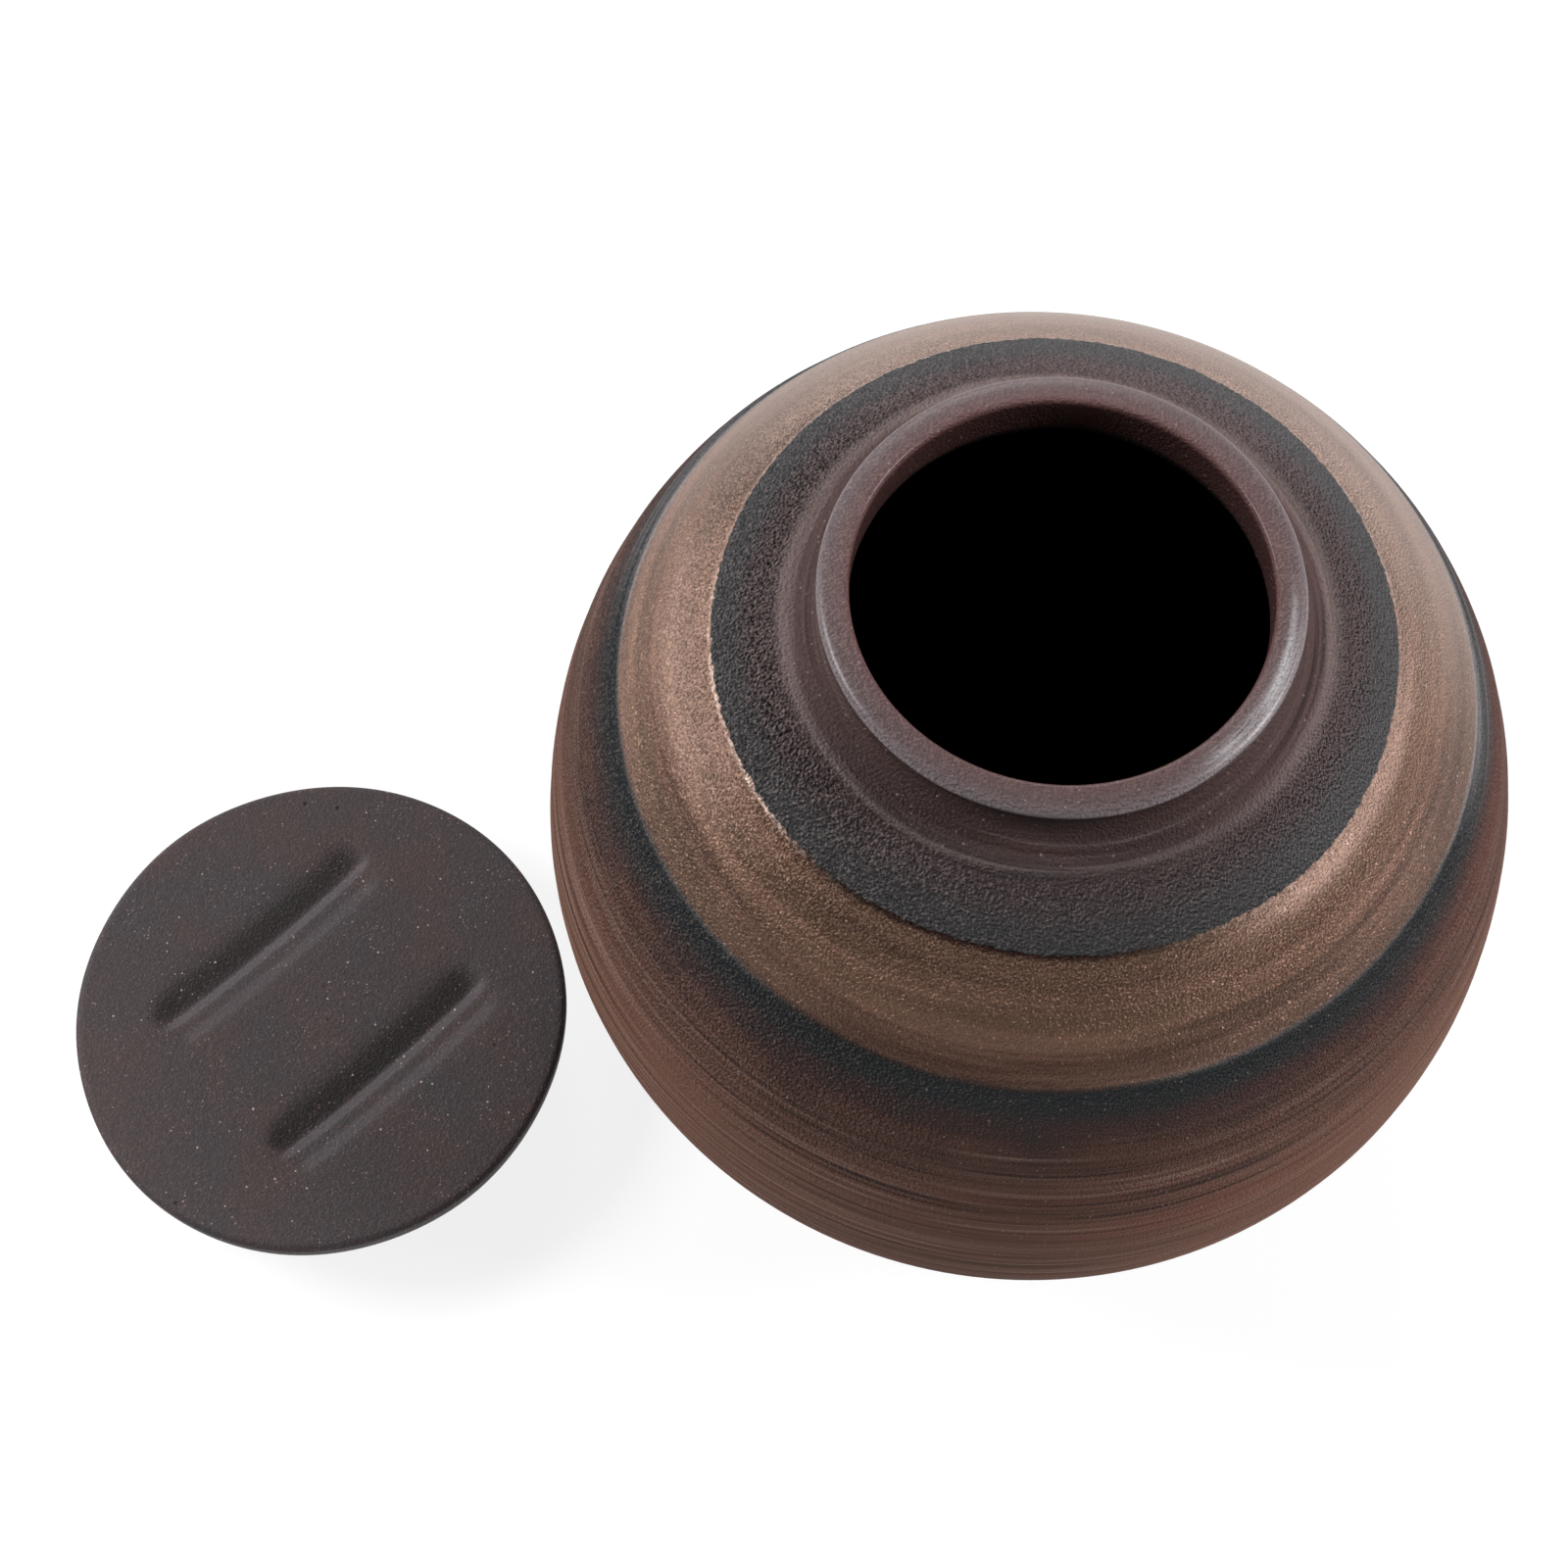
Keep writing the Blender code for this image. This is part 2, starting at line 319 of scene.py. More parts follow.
def speckle(places, size, depth):
    """Noise of that grain size in mm at each place in mm."""
    return np.array([noise.fractal(Vector(p) / size, 0.6, 2.0, depth) for p in places])


print("ramp at the middle:", ramp(0.5, 0.0, 1.0), "hump beside it:", round(float(hump(0.5, 1.0)), 2))

# %% [markdown]
# ## More faces where the slip ends
# The bronze slip ends in a ragged edge with teeth well under a millimetre. Faces that small all
# over would run to millions, so only those along the edge are subdivided.

# %% Select by travel and subdivide
def values(piece, name):
    """A point attribute as an array."""
    made = np.zeros(len(piece.data.vertices), np.float32)
    piece.data.attributes[name].data.foreach_get("value", made)
    return made


def refine(piece, wanted):
    """Subdivide the faces that wanted picks, given their middles in mm and travel."""
    travel = values(piece, "travel")
    mesh = piece.data
    middles = np.zeros(len(mesh.polygons) * 3, np.float32)
    mesh.polygons.foreach_get("center", middles)
    mean = np.array([travel[list(face.vertices)].mean() for face in mesh.polygons])
    chosen = wanted(middles.reshape(-1, 3) / MM, mean)
    bpy.ops.object.select_all(action="DESELECT")
    piece.select_set(True)
    bpy.context.view_layer.objects.active = piece
    bpy.context.tool_settings.mesh_select_mode = (False, False, True)
    mode("EDIT")
    bpy.ops.mesh.select_all(action="DESELECT")
    mode("OBJECT")
    mesh.polygons.foreach_set("select", chosen)
    mode("EDIT")
    bpy.ops.mesh.subdivide(number_cuts=1)
    mode("OBJECT")
    bpy.context.tool_settings.mesh_select_mode = (True, False, False)
    return int(chosen.sum())


RAGGED_REACH = 1.3
RAGGED_MARGIN = 0.8
for reach in (RAGGED_REACH + RAGGED_MARGIN, RAGGED_REACH):
    count = refine(jar, lambda middle, travel: np.abs(travel - BRONZE_TOP) < reach)
    print("subdivided", count, "faces within", reach, "mm of the bronze's top edge")

# %% [markdown]
# ## The clay's relief
# The relief is how far the surface stands out from the measured line, in mm, and is never above
# zero, so the dressed jar stays inside the measured one. Each feature is one term. The jar is
# smoother in front, so step and rings fade there. The same front bearing also places the colours'
# painted shade in front and painted light at the sides. A ridge is (place, reach, height), throwing
# lines are (height, pitch, seed), waves round the pot are (height, seed, counts), and a start or
# end is the stretch over which it happens.

# %% Features of the relief
EASE = 0.12
FRONT_BEARING = math.radians(255)
TOP_EDGE_WAVES = (0.45, 11, (1, 2, 3, 5, 8))
LOW_EDGE_WAVES = (0.45, 12, (1, 2, 3, 4, 7))
DRIFT_WAVES = (0.5, 13, (1, 2, 3, 5))
STEP_WAVES = (0.3, 14, (1, 2, 4))
LIP_WAVES = (0.03, 15, (3, 5, 9, 14))
TOOTH = 0.36
TOOTH_SIZE = 0.7
RIM_RISE = 0.12
RIM_START = (CHARCOAL - 3.0, BRONZE_TOP - 1.0)
CLIFF = 0.34
CLIFF_LEFT = 0.16
CLIFF_RUN = 0.22
CLIFF_TALUS = 4.5
FINGER_STEP = ((0.0, 1.1, 0.12), (2.0, 0.8, 0.05), (-1.6, 0.9, -0.05))
ROLLED_EDGE = ((0.45, 0.45, 0.11),)
RUN_OUT = ((-0.5, 0.8, 0.09),)
LOW_GROOVE = ((2.6, 0.7, 0.05), (1.2, 1.3, -0.15))
COVE_LINES = (0.09, 1.4, 26)
SLIP_LINES = (0.045, 3.4, 21)
FINE_LINES = (0.075, 1.5, 22)
BROAD_LINES = (0.055, 3.1, 23)
INSIDE_LINES = (0.12, 8.0, 24)
COVE_START = (7.5, 9.5)
COVE_END = (NECK_STEP + 2.0, NECK_STEP + 6.0)
SLIP_START = (1.0, 5.0)
SLIP_END = (-1.0, 1.0)
LOW_WALL_START = (3.0, 9.0)
LOW_WALL_END = (FOOT - 3.0, FOOT)
FLAT_FOOT = (FOOT, FOOT + 2.0)
INSIDE_END = (-14.0, -8.0)
LIP_CROWN = (2.5, 6.0)
STEP_CALM = 0.85
COVE_CALM = 0.5
FRONT_POWER = 8
print("the cliff at the bronze's top edge is", CLIFF, "mm high, of which", CLIFF_LEFT, "mm is left")

# %% [markdown]
# ## Relief at a place
# Sculpting each ring by hand would be slow and never quite even. A formula that adds up the
# features does the whole pot at once, from how far a place lies down the pot and round it.

# %% The jar's edges and relief
def jar_edges(travel, angle, places):
    """How far below the bronze's top and low edge each place lies, in mm of travel."""
    teeth = TOOTH * speckle(places, TOOTH_SIZE, 2)
    below_top = travel - BRONZE_TOP - wander(angle, *TOP_EDGE_WAVES) + teeth
    below_low = travel - BRONZE_LOW - wander(angle, *LOW_EDGE_WAVES)
    return below_top, below_low


def jar_relief(travel, angle, below_top, below_low):
    """Height over the measured surface in mm."""
    drift = travel + wander(angle, *DRIFT_WAVES)
    step = travel - NECK_STEP - wander(angle, *STEP_WAVES)
    low_wall = ramp(below_low, *LOW_WALL_START) * (1 - ramp(travel, *LOW_WALL_END))
    slip = ramp(below_top, *SLIP_START) * (1 - ramp(below_low, *SLIP_END))
    cove = ramp(travel, *COVE_START) * (1 - ramp(travel, *COVE_END))
    calm = 0.5 + 0.5 * np.cos(angle - FRONT_BEARING)
    front = calm**FRONT_POWER
    made = ridges(step, FINGER_STEP) * (1 - STEP_CALM * calm**2)
    made += RIM_RISE * ramp(travel, *RIM_START)
    made -= CLIFF * ramp(below_top, -CLIFF_RUN / 2, CLIFF_RUN / 2)
    made += (CLIFF - CLIFF_LEFT) * ramp(below_top, CLIFF_RUN, CLIFF_TALUS)
    made += ridges(below_top, ROLLED_EDGE)
    made += ridges(below_low, RUN_OUT) * (1 - front)
    made += ridges(below_low, LOW_GROOVE)
    made += cove * lines(drift, *COVE_LINES) * (1 - COVE_CALM * front)
    made += slip * lines(drift, *SLIP_LINES)
    made += low_wall * (lines(drift, *FINE_LINES) + lines(drift, *BROAD_LINES))
    inside_wall = lines(drift, *INSIDE_LINES) * (1 - ramp(travel, *INSIDE_END))
    lip = wander(angle, *LIP_WAVES) * hump(travel - LIP_CROWN[0], LIP_CROWN[1])
    flat = 1 - ramp(travel, *FLAT_FOOT)
    return (np.minimum(made + lip, EASE) + inside_wall - EASE) * flat


def places_of(piece):
    """The places of a piece's vertices in mm, one row each."""
    flat_places = np.zeros(len(piece.data.vertices) * 3)
    piece.data.vertices.foreach_get("co", flat_places)
    return flat_places.reshape(-1, 3) / MM


def put(piece, places):
    """Move a piece's vertices to places in mm."""
    piece.data.vertices.foreach_set("co", (places * MM).ravel())
    piece.data.update()


def shape_jar(piece):
    """Put every vertex on the smooth line with its relief, and keep the edges."""
    places = places_of(piece)
    travel = values(piece, "travel")
    angle = np.arctan2(places[:, 1], places[:, 0])
    below_top, below_low = jar_edges(travel, angle, places)
    tangent = np.gradient(jar_line, axis=0)
    tangent /= np.linalg.norm(tangent, axis=1)[:, None]
    point = along(jar_travel, jar_line, travel)
    run = along(jar_travel, tangent, travel)
    lift = jar_relief(travel, angle, below_top, below_low)
    radius = np.where(point[:, 0] > SAME_PLACE, point[:, 0] - run[:, 1] * lift, 0.0)
    height = point[:, 1] + run[:, 0] * lift
    put(piece, np.column_stack([radius * np.cos(angle), radius * np.sin(angle), height]))
    mark(piece, "below_top", below_top)
    mark(piece, "below_low", below_low)
    return lift


jar_lift = shape_jar(jar)
print("jar:", len(jar.data.vertices), "vertices, relief from", round(float(jar_lift.min()), 2),
      "to", round(float(jar_lift.max()), 2), "mm")

# %% [markdown]
# ## The lid's disc and flange
# The lid is turned in the same way. A smooth curve would swing round its true corners, at the
# seal's groove and under the rim, so the curve is cut there. Rings are set by how much the line
# turns: many on the rounded rim, few on the flat underside.

# %% Turn the lid
CORNER = 55
LID_TOP = lid_high.z / MM
LID_RADIUS = (lid_high.x - lid_low.x) / 2 / MM


def headings(line):
    """The direction of each step of a line, in degrees without jumps."""
    way = np.diff(line, axis=0)
    return np.degrees(np.unwrap(np.arctan2(way[:, 1], way[:, 0])))


def eased_line(points):
    """Smooth curves between the corners."""
    turns = np.abs(np.diff(headings(points)))
    corners = [0, *(np.flatnonzero(turns > CORNER) + 1), len(points) - 1]
    runs = [smooth_line(points[first:last + 1]) for first, last in zip(corners, corners[1:])]
    return np.vstack([runs[0]] + [run[1:] for run in runs[1:]])


def rings_by_turn(line, travel, widest, turn):
    """Travel of every ring: at most widest mm and turn degrees apart."""
    turned_by = np.concatenate([[0.0], np.cumsum(np.abs(np.diff(headings(line)))), [0.0]])
    turned_by[-1] = turned_by[-2]
    spent = (travel - travel[0]) / widest + turned_by / turn
    marks = np.interp(np.linspace(0, spent[-1], math.ceil(spent[-1]) + 1), spent, travel)
    kept = [marks[0]]
    for place in marks[1:]:
        if place - kept[-1] > RING_GAP:
            kept.append(place)
    return np.array(kept)


RING_GAP = 0.08
LID_WIDEST = 0.9
LID_TURN = 12
LID_STEPS = 168
lid_stations = section("lid", lid_axis)
top_edge = int(np.argmax(lid_stations[:, 1] > LID_TOP - SAME_PLACE))
lid_points = np.vstack([(0, lid_stations[0, 1]), lid_stations[:top_edge + 1], (0, LID_TOP)])
lid_line = np.clip(eased_line(lid_points), 0.0, (LID_RADIUS, LID_TOP))
lid_travel = travelled(lid_line)
lid_travel -= lid_travel[-1] - lid_stations[top_edge, 0]
lid_rings = rings_by_turn(lid_line, lid_travel, LID_WIDEST, LID_TURN)
lid = turned("pressed_lid", along(lid_travel, lid_line, lid_rings), lid_rings, LID_STEPS, lid_axis)
print("lid:", len(lid_rings), "rings,", len(lid.data.polygons), "faces")

# %% [markdown]
# ## Two grooves for the fingertips
# Two fingers pushed the grooves into the soft clay from the lower right, which left a steep wall
# at the upper left, a narrow floor and a long easy wall. The cross section is drawn once, one
# millimetre deep, through points of (mm across, depth). The grooves bow a little, and end bluntly
# at the lower left, where the steep wall turns in, and slowly at the upper right.

# %% Sizes of the grooves
GROOVE_BEARING = math.radians(43.4)
GROOVE_HALF = 24.0
GROOVE_REACH = 8.5
GROOVE_BOW = 0.9
BLUNT_END = 4.5
LONG_END = 5.5
END_PAST = 2.0
TURN_IN = 1.3
TURN_IN_FROM = 2.5
PRESSED = smooth_line(np.array([
    (-9.0, 0.0), (-7.4, -0.05), (-5.8, -0.17), (-4.4, -0.39), (-3.2, -0.64), (-2.2, -0.85),
    (-1.4, -0.98), (-1.0, -1.0), (-0.6, -0.92), (0.0, -0.66), (0.6, -0.44), (1.2, -0.38), (1.9, -0.36),
    (2.6, -0.34), (3.8, -0.20), (5.0, -0.05), (6.2, 0.0), (7.4, 0.02), (8.5, 0.0)]))
GROOVES = ((-15.75, 1.30), (15.8, 1.55))
print("grooves:", 2 * GROOVE_HALF, "mm long, with (middle, depth) in mm of", *GROOVES)

# %% [markdown]
# ## Pressing and trimming the lid
# The disc was finished by hand, so it is trimmed by a few slow waves, always inwards, to stay
# inside the measured disc. For the same reason the top is let down a little. How steeply each
# place rises across the grooves is kept as the attribute rise, for the material.

# %% Press the grooves
LID_EASE = 0.20
UNEVEN = 0.05
UNEVEN_REACH = (13.0, 11.0)
UNEVEN_START = (1.0, -0.5)
TOP_BLEND = (1.2, 0.3)
TOP_SKIN = 0.5
GROOVE_MARGIN = 4
TRIM = ((2, 0.27, -111), (3, 0.12, -37), (4, 0.05, 96), (6, 0.05, -29), (8, 0.05, 20))
TRIM_REACH = 8
ABOVE_FLANGE = (10.0, 12.0)
SLOPE_STEP = 0.1


def groove_frame(places):
    """Places on the lid in mm as (along the grooves, across them)."""
    ahead = np.array([math.cos(GROOVE_BEARING), math.sin(GROOVE_BEARING)])
    aside = np.array([math.sin(GROOVE_BEARING), -math.cos(GROOVE_BEARING)])
    flat = places[:, :2] - np.array(lid_axis[:2]) / MM
    return flat @ ahead, flat @ aside


def near_a_groove(places, travel):
    """True for faces on the lid's top that a groove reaches."""
    ahead, aside = groove_frame(places)
    beside = np.min([np.abs(aside - middle) for middle, depth in GROOVES], axis=0) < GROOVE_REACH
    within_ends = np.abs(ahead) < GROOVE_HALF + GROOVE_MARGIN
    return beside & within_ends & (places[:, 2] > LID_TOP - TOP_SKIN)


def pressed(ahead, aside):
    """Height of the pressed top in mm, below zero in the grooves."""
    made = np.zeros(len(ahead))
    for middle, depth in GROOVES:
        bow = GROOVE_BOW * (1 - (ahead / GROOVE_HALF) ** 2)
        across = aside - middle - bow
        tip = ahead + TURN_IN * np.minimum(across + TURN_IN_FROM, 0.0)
        fade = ramp(ahead, -GROOVE_HALF, -GROOVE_HALF + BLUNT_END)
        fade *= ramp(tip, -GROOVE_HALF - BLUNT_END, -GROOVE_HALF + 1.5 * BLUNT_END)
        fade *= 1 - ramp(ahead, GROOVE_HALF + END_PAST - LONG_END, GROOVE_HALF + END_PAST)
        made += fade * depth * np.interp(across, PRESSED[:, 0], PRESSED[:, 1], 0.0, 0.0)
    return made


def shape_lid(piece):
    """Trim the lid's outline by hand and press its top."""
    places = places_of(piece)
    centre = np.array([lid_axis.x, lid_axis.y, 0]) / MM
    arm = places - centre
    radius = np.hypot(arm[:, 0], arm[:, 1])
    angle = np.arctan2(arm[:, 1], arm[:, 0])
    outer = ramp(radius, LID_RADIUS - TRIM_REACH, LID_RADIUS) * ramp(places[:, 2], *ABOVE_FLANGE)
    trim = sum(mm * (np.cos(n * angle + math.radians(turn)) - 1) for n, mm, turn in TRIM)
    scale = 1 + outer * (trim - trim.max()) / LID_RADIUS
    ahead, aside = groove_frame(places)
    on_top = ramp(places[:, 2], LID_TOP - TOP_BLEND[0], LID_TOP - TOP_BLEND[1])
    waves = [arm[:, k] / UNEVEN_REACH[k] + UNEVEN_START[k] for k in (0, 1)]
    uneven = UNEVEN * np.sin(waves[0]) * np.cos(waves[1])
    sink = on_top * (pressed(ahead, aside) + uneven - LID_EASE)
    made = centre + arm * np.column_stack([scale, scale, np.ones(len(arm))])
    made[:, 2] += sink
    put(piece, made)
    slope = pressed(ahead, aside + SLOPE_STEP) - pressed(ahead, aside - SLOPE_STEP)
    mark(piece, "rise", on_top * slope / (2 * SLOPE_STEP))
    return sink


for turn in (1, 2):
    print("subdivided", refine(lid, near_a_groove), "faces near the grooves")
lid_sink = shape_lid(lid)
print("lid:", len(lid.data.polygons), "faces, pressed", round(float(-lid_sink.min()), 2), "mm deep")

# %% [markdown]
# ## The seal
# The silicone ring in the flange's groove has three fins, which the mouth bends as the lid goes
# in. Moulded silicone has no sharp edge, so its section is a smooth closed curve.

# %% Turn the seal
SEAL_STEPS = 144
SEAL_PARTS = 3
seal_line = smooth_line(section("lid_seal", lid_axis), SEAL_PARTS)
seal = turned("silicone_seal", seal_line, travelled(seal_line), SEAL_STEPS, lid_axis, closed=True)
print("seal:", len(seal_line), "points round the section,", len(seal.data.polygons), "faces")

# %% [markdown]
# ## What each piece rides on
# Each dressed piece takes the place of its measured solid and moves with its body, so a lifted
# lid takes its seal along.

# %% Stand in for the measured solids
for piece, body, node, slot in (
    (jar, "jar", "jar_body", "stoneware"),
    (lid, "lid", "lid", "lid_stoneware"),
    (seal, "lid", "lid_seal", "silicone"),
):
    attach(piece, body)
    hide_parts(node)
    print(piece.name, "rides on", body, "and stands for", node)

# %% [markdown]
# ## Maths that reads as maths
# Building a graph of nodes by hand takes four lines for each sum. A small class wraps a socket
# instead, so that adding two wires adds a Math node and links it. Its method add makes any other
# node, with the node's own settings first, because some change which sockets there are.

# %% A wire of a material
class Wire:
    """A socket of a node tree that takes part in arithmetic."""

    def __init__(self, tree, socket=None):
        self.tree = tree
        self.socket = socket

    def add(self, kind, sockets=(), output=0, stops=(), **settings):
        """Make a node: its settings and stops first, then a value or wire for each socket."""
        node = self.tree.nodes.new("ShaderNode" + kind)
        for name, value in settings.items():
            setattr(node, name, value)
        if stops:
            elements = node.color_ramp.elements
            elements[0].position, elements[1].position = stops[0][0], stops[-1][0]
            for place, colour in stops[1:-1]:
                elements.new(place)
            for element, (place, colour) in zip(elements, stops):
                element.color = colour
        for name, value in dict(sockets).items():
            if isinstance(value, Wire):
                self.tree.links.new(value.socket, node.inputs[name])
            else:
                node.inputs[name].default_value = value
        return Wire(self.tree, node.outputs[output] if node.outputs else None)

    def math(self, operation, *values):
        return self.add("Math", enumerate(values), operation=operation)

    def __add__(self, other):
        return self.math("ADD", self, other)

    def __sub__(self, other):
        return self.math("SUBTRACT", self, other)

    def __mul__(self, other):
        return self.math("MULTIPLY", self, other)

    def __truediv__(self, other):
        return self.math("DIVIDE", self, other)

    def __radd__(self, other):
        return self.math("ADD", other, self)

    def __rsub__(self, other):
        return self.math("SUBTRACT", other, self)

    def __rmul__(self, other):
        return self.math("MULTIPLY", other, self)

    def step(self, start, end):
        """0 where this wire is at start, 1 at end, and smooth between."""
        values = {"Value": self, "From Min": start, "From Max": end}
        return self.add("MapRange", values, interpolation_type="SMOOTHSTEP")

    def fade(self, start, end):
        """1 where this wire is at start, 0 at end, and smooth between."""
        return 1 - self.step(start, end)

    def within(self, start, whole, ebb, end):
        """0 before start, 1 from whole to ebb, and 0 again after end."""
        return self.step(start, whole) * self.fade(ebb, end)

    def blend(self, under, over):
        """The colour under, mixed with the colour over by this wire."""
        return self.add("Mix", {0: self, 6: under, 7: over}, 2, data_type="RGBA")

    def bright(self, colour):
        """The colour, made brighter or darker by this wire."""
        return self.add("VectorMath", {0: colour, "Scale": self}, operation="SCALE")


print("a wire can be added, multiplied, stepped and used to blend two colours")

# %% [markdown]
# ## Noise for clay
# Fired clay is never one colour. Mottle is soft clouding at one size in mm. Flanks is painted
# light and shade, what low light makes of a rough skin: noise minus the same noise moved towards
# the key light, because so fine a bump doesn't survive a cleaned render. Grains are round specks,
# one in each cell of a pattern, of which a share is kept: loose grog, and also pits painted dark
# as shade and sparks painted as glints.

# %% Mottle, flanks and grains
def mottle(places, size, detail=2.0, roughness=0.5):
    """Soft noise round 0, of that size in mm, at places in mm."""
    values = {"Vector": places, "Scale": 1 / size, "Detail": detail, "Roughness": roughness}
    return places.add("TexNoise", values) - 0.5


def flanks(places, size, towards):
    """Painted light and shade: above 0 on the grains' flanks that face a side, below 0 on the others.
    """
    moved = places.add("VectorMath", {0: places, 1: towards}, operation="ADD")
    return mottle(places, size) - mottle(moved, size)


def grains(places, size, share, radius):
    """1 on round grains: one in each cell of size mm, in that share of cells."""
    cells = {"Vector": places, "Scale": 1 / size}
    near = places.add("TexVoronoi", cells)
    dice = places.add("TexVoronoi", cells, 1)
    pick, width = (places.add("SeparateColor", {0: dice}, part) for part in (0, 1))
    reach = radius * (0.5 + width)
    return near.fade(reach * 0.5, reach) * pick.fade(share, share + 0.02)


def srgb(red, green, blue):
    """A colour given as 0 to 255, as a screen shows it, made linear and opaque."""
    parts = [value / 255 for value in (red, green, blue)]
    linear = [v / 12.92 if v <= 0.04045 else ((v + 0.055) / 1.055) ** 2.4 for v in parts]
    return (*linear, 1.0)


def new_material(name, piece):
    """A material on the piece, its tree's first wire and the piece's places in mm."""
    material = bpy.data.materials.new(name)
    material.use_nodes = True
    material.node_tree.nodes.clear()
    piece.data.materials.clear()
    piece.data.materials.append(material)
    start = Wire(material.node_tree)
    spot = start.add("TexCoord", output=3)
    return start, spot.add("VectorMath", {0: spot, "Scale": 1 / MM}, operation="SCALE")


def finish_material(start, relief, **sockets):
    """End a material in one Principled surface; the relief is a bump in mm."""
    bump = {"Height": relief, "Distance": MM}
    names = {name.replace("_", " "): value for name, value in sockets.items()}
    surface = start.add("BsdfPrincipled", {**names, "Normal": start.add("Bump", bump)})
    start.add("OutputMaterial", {"Surface": surface})


print("a mid grey of 128 is", round(srgb(128, 128, 128)[0], 3), "when linear")

# %% [markdown]
# ## Colours down the jar
# The kiln coloured this jar by how thick the slip lay, and the bands follow the surface, so every
# colour is a stop at a travel. The upper clay's stops count from the mouth's edge and the lower
# clay's from the bronze's low edge.

# %% The two clays from top to bottom
# Painted light among the upper stops: near black deep inside the neck is painted shade, the pale stop
# at the lip's outer edge is a painted highlight, and the dark stop just under the lip is painted shade
UPPER_COAT = (
    (-9.0, 13, 10, 10), (-7.6, 28, 17, 16), (-7.0, 54, 35, 33), (-0.9, 54, 34, 32),
    (-0.2, 98, 68, 66), (1.4, 94, 71, 70), (3.2, 94, 77, 78), (4.8, 116, 103, 106),
    (5.6, 142, 130, 133), (6.2, 74, 60, 60), (8.5, 46, 33, 32), (11.0, 64, 46, 44),
    (NECK_STEP - 1.6, 66, 50, 49), (NECK_STEP, 70, 57, 57), (NECK_STEP + 2.0, 80, 66, 67),
    (CHARCOAL - 2.0, 82, 70, 71), (CHARCOAL + 1.0, 66, 64, 66), (BRONZE_TOP, 60, 61, 63))
LOWER_COAT = (
    (0.0, 40, 45, 47), (3.5, 42, 45, 47), (5.5, 56, 47, 47), (9.0, 72, 50, 46),
    (15.0, 94, 64, 54), (24.0, 105, 72, 60), (36.0, 110, 76, 62), (60.0, 116, 83, 68),
    (100.0, 98, 72, 61), (124.0, 84, 62, 53))
# Painted shade in pits and on dark flanks, painted light on pale flanks, glints and the ring, and a
# painted sheen
PIT_SHADE = srgb(18, 13, 13)
GRAIN_HIGHLIGHT = srgb(156, 140, 136)
SHEEN = srgb(168, 164, 166)


def coat(wire, colours):
    """A colour for each mm of the wire, given as stops of (mm, red, green, blue)."""
    first, last = colours[0][0], colours[-1][0]
    stops = [((place - first) / (last - first), srgb(*colour)) for place, *colour in colours]
    return wire.add("ValToRGB", {0: (wire - first) / (last - first)}, 0, stops)


print("stops:", len(UPPER_COAT), "above the bronze and", len(LOWER_COAT), "below it")

# %% [markdown]
# ## Where on the jar
# Each finish keeps to a zone, a wire that is 1 inside and 0 outside. Down the pot the zones
# follow travel and the edge attributes of the relief, so colour and form agree. Round it they
# follow two cosines: one is 1 in front and -1 on the far side, and east is 1 on the right. With
# them the colours get painted shade in front and painted light at the sides. What the wheel or
# the brush drew is noise stretched round the pot, by counting only a small part of the way round.

# %% The jar's places, noises and zones
# Way towards the key light, along which grains get painted light and shade on their flanks
LIGHT_WAY = (-0.17, 0.05, 0.12)
BRUSH_SHARE = 0.08
WHEEL_SHARE = 0.02
LEATHER_SIZE = 0.45
CLOUD_SIZE = 9.0
STREAK_SIZE = 4.0
LINE_SIZE = 1.1
AXIS_GUARD = 0.01
LIP_ZONE = (-0.2, 0.6, 6.2, 7.2)
COVE_ZONE = (7.5, 9.0, NECK_STEP + 1.0, NECK_STEP + 5.0)
RING_ZONE = (NECK_STEP - 2.0, NECK_STEP - 0.4, NECK_STEP + 0.4, NECK_STEP + 2.0)
ROUGH_START = (NECK_STEP - 1.0, NECK_STEP + 3.0)
SMOOTHER_RIM = (-7.0, -3.0)
SLIP_EDGE = (-0.08, 0.10)
RUN_OUT_EDGE = (-0.9, 0.6)
LOW_ROUGH_END = (12.0, 40.0)
THROWN_START = (5.0, 16.0)
EDGE_LINE = (0.45, 0.95)
CRUMBLE_SIZE = 0.35
THIN_SIZE = 1.2
BRUSHED_SIZE = 1.6
FRONT_SHADE = (0.72, 1.0)
FRONT_FADE = (0.3, 1.0)
LIP_HIGHLIGHT_RIGHT = (0.1, 0.7)
LIP_HIGHLIGHT_SIDES = (-0.5, 0.2, 0.5, 0.9)


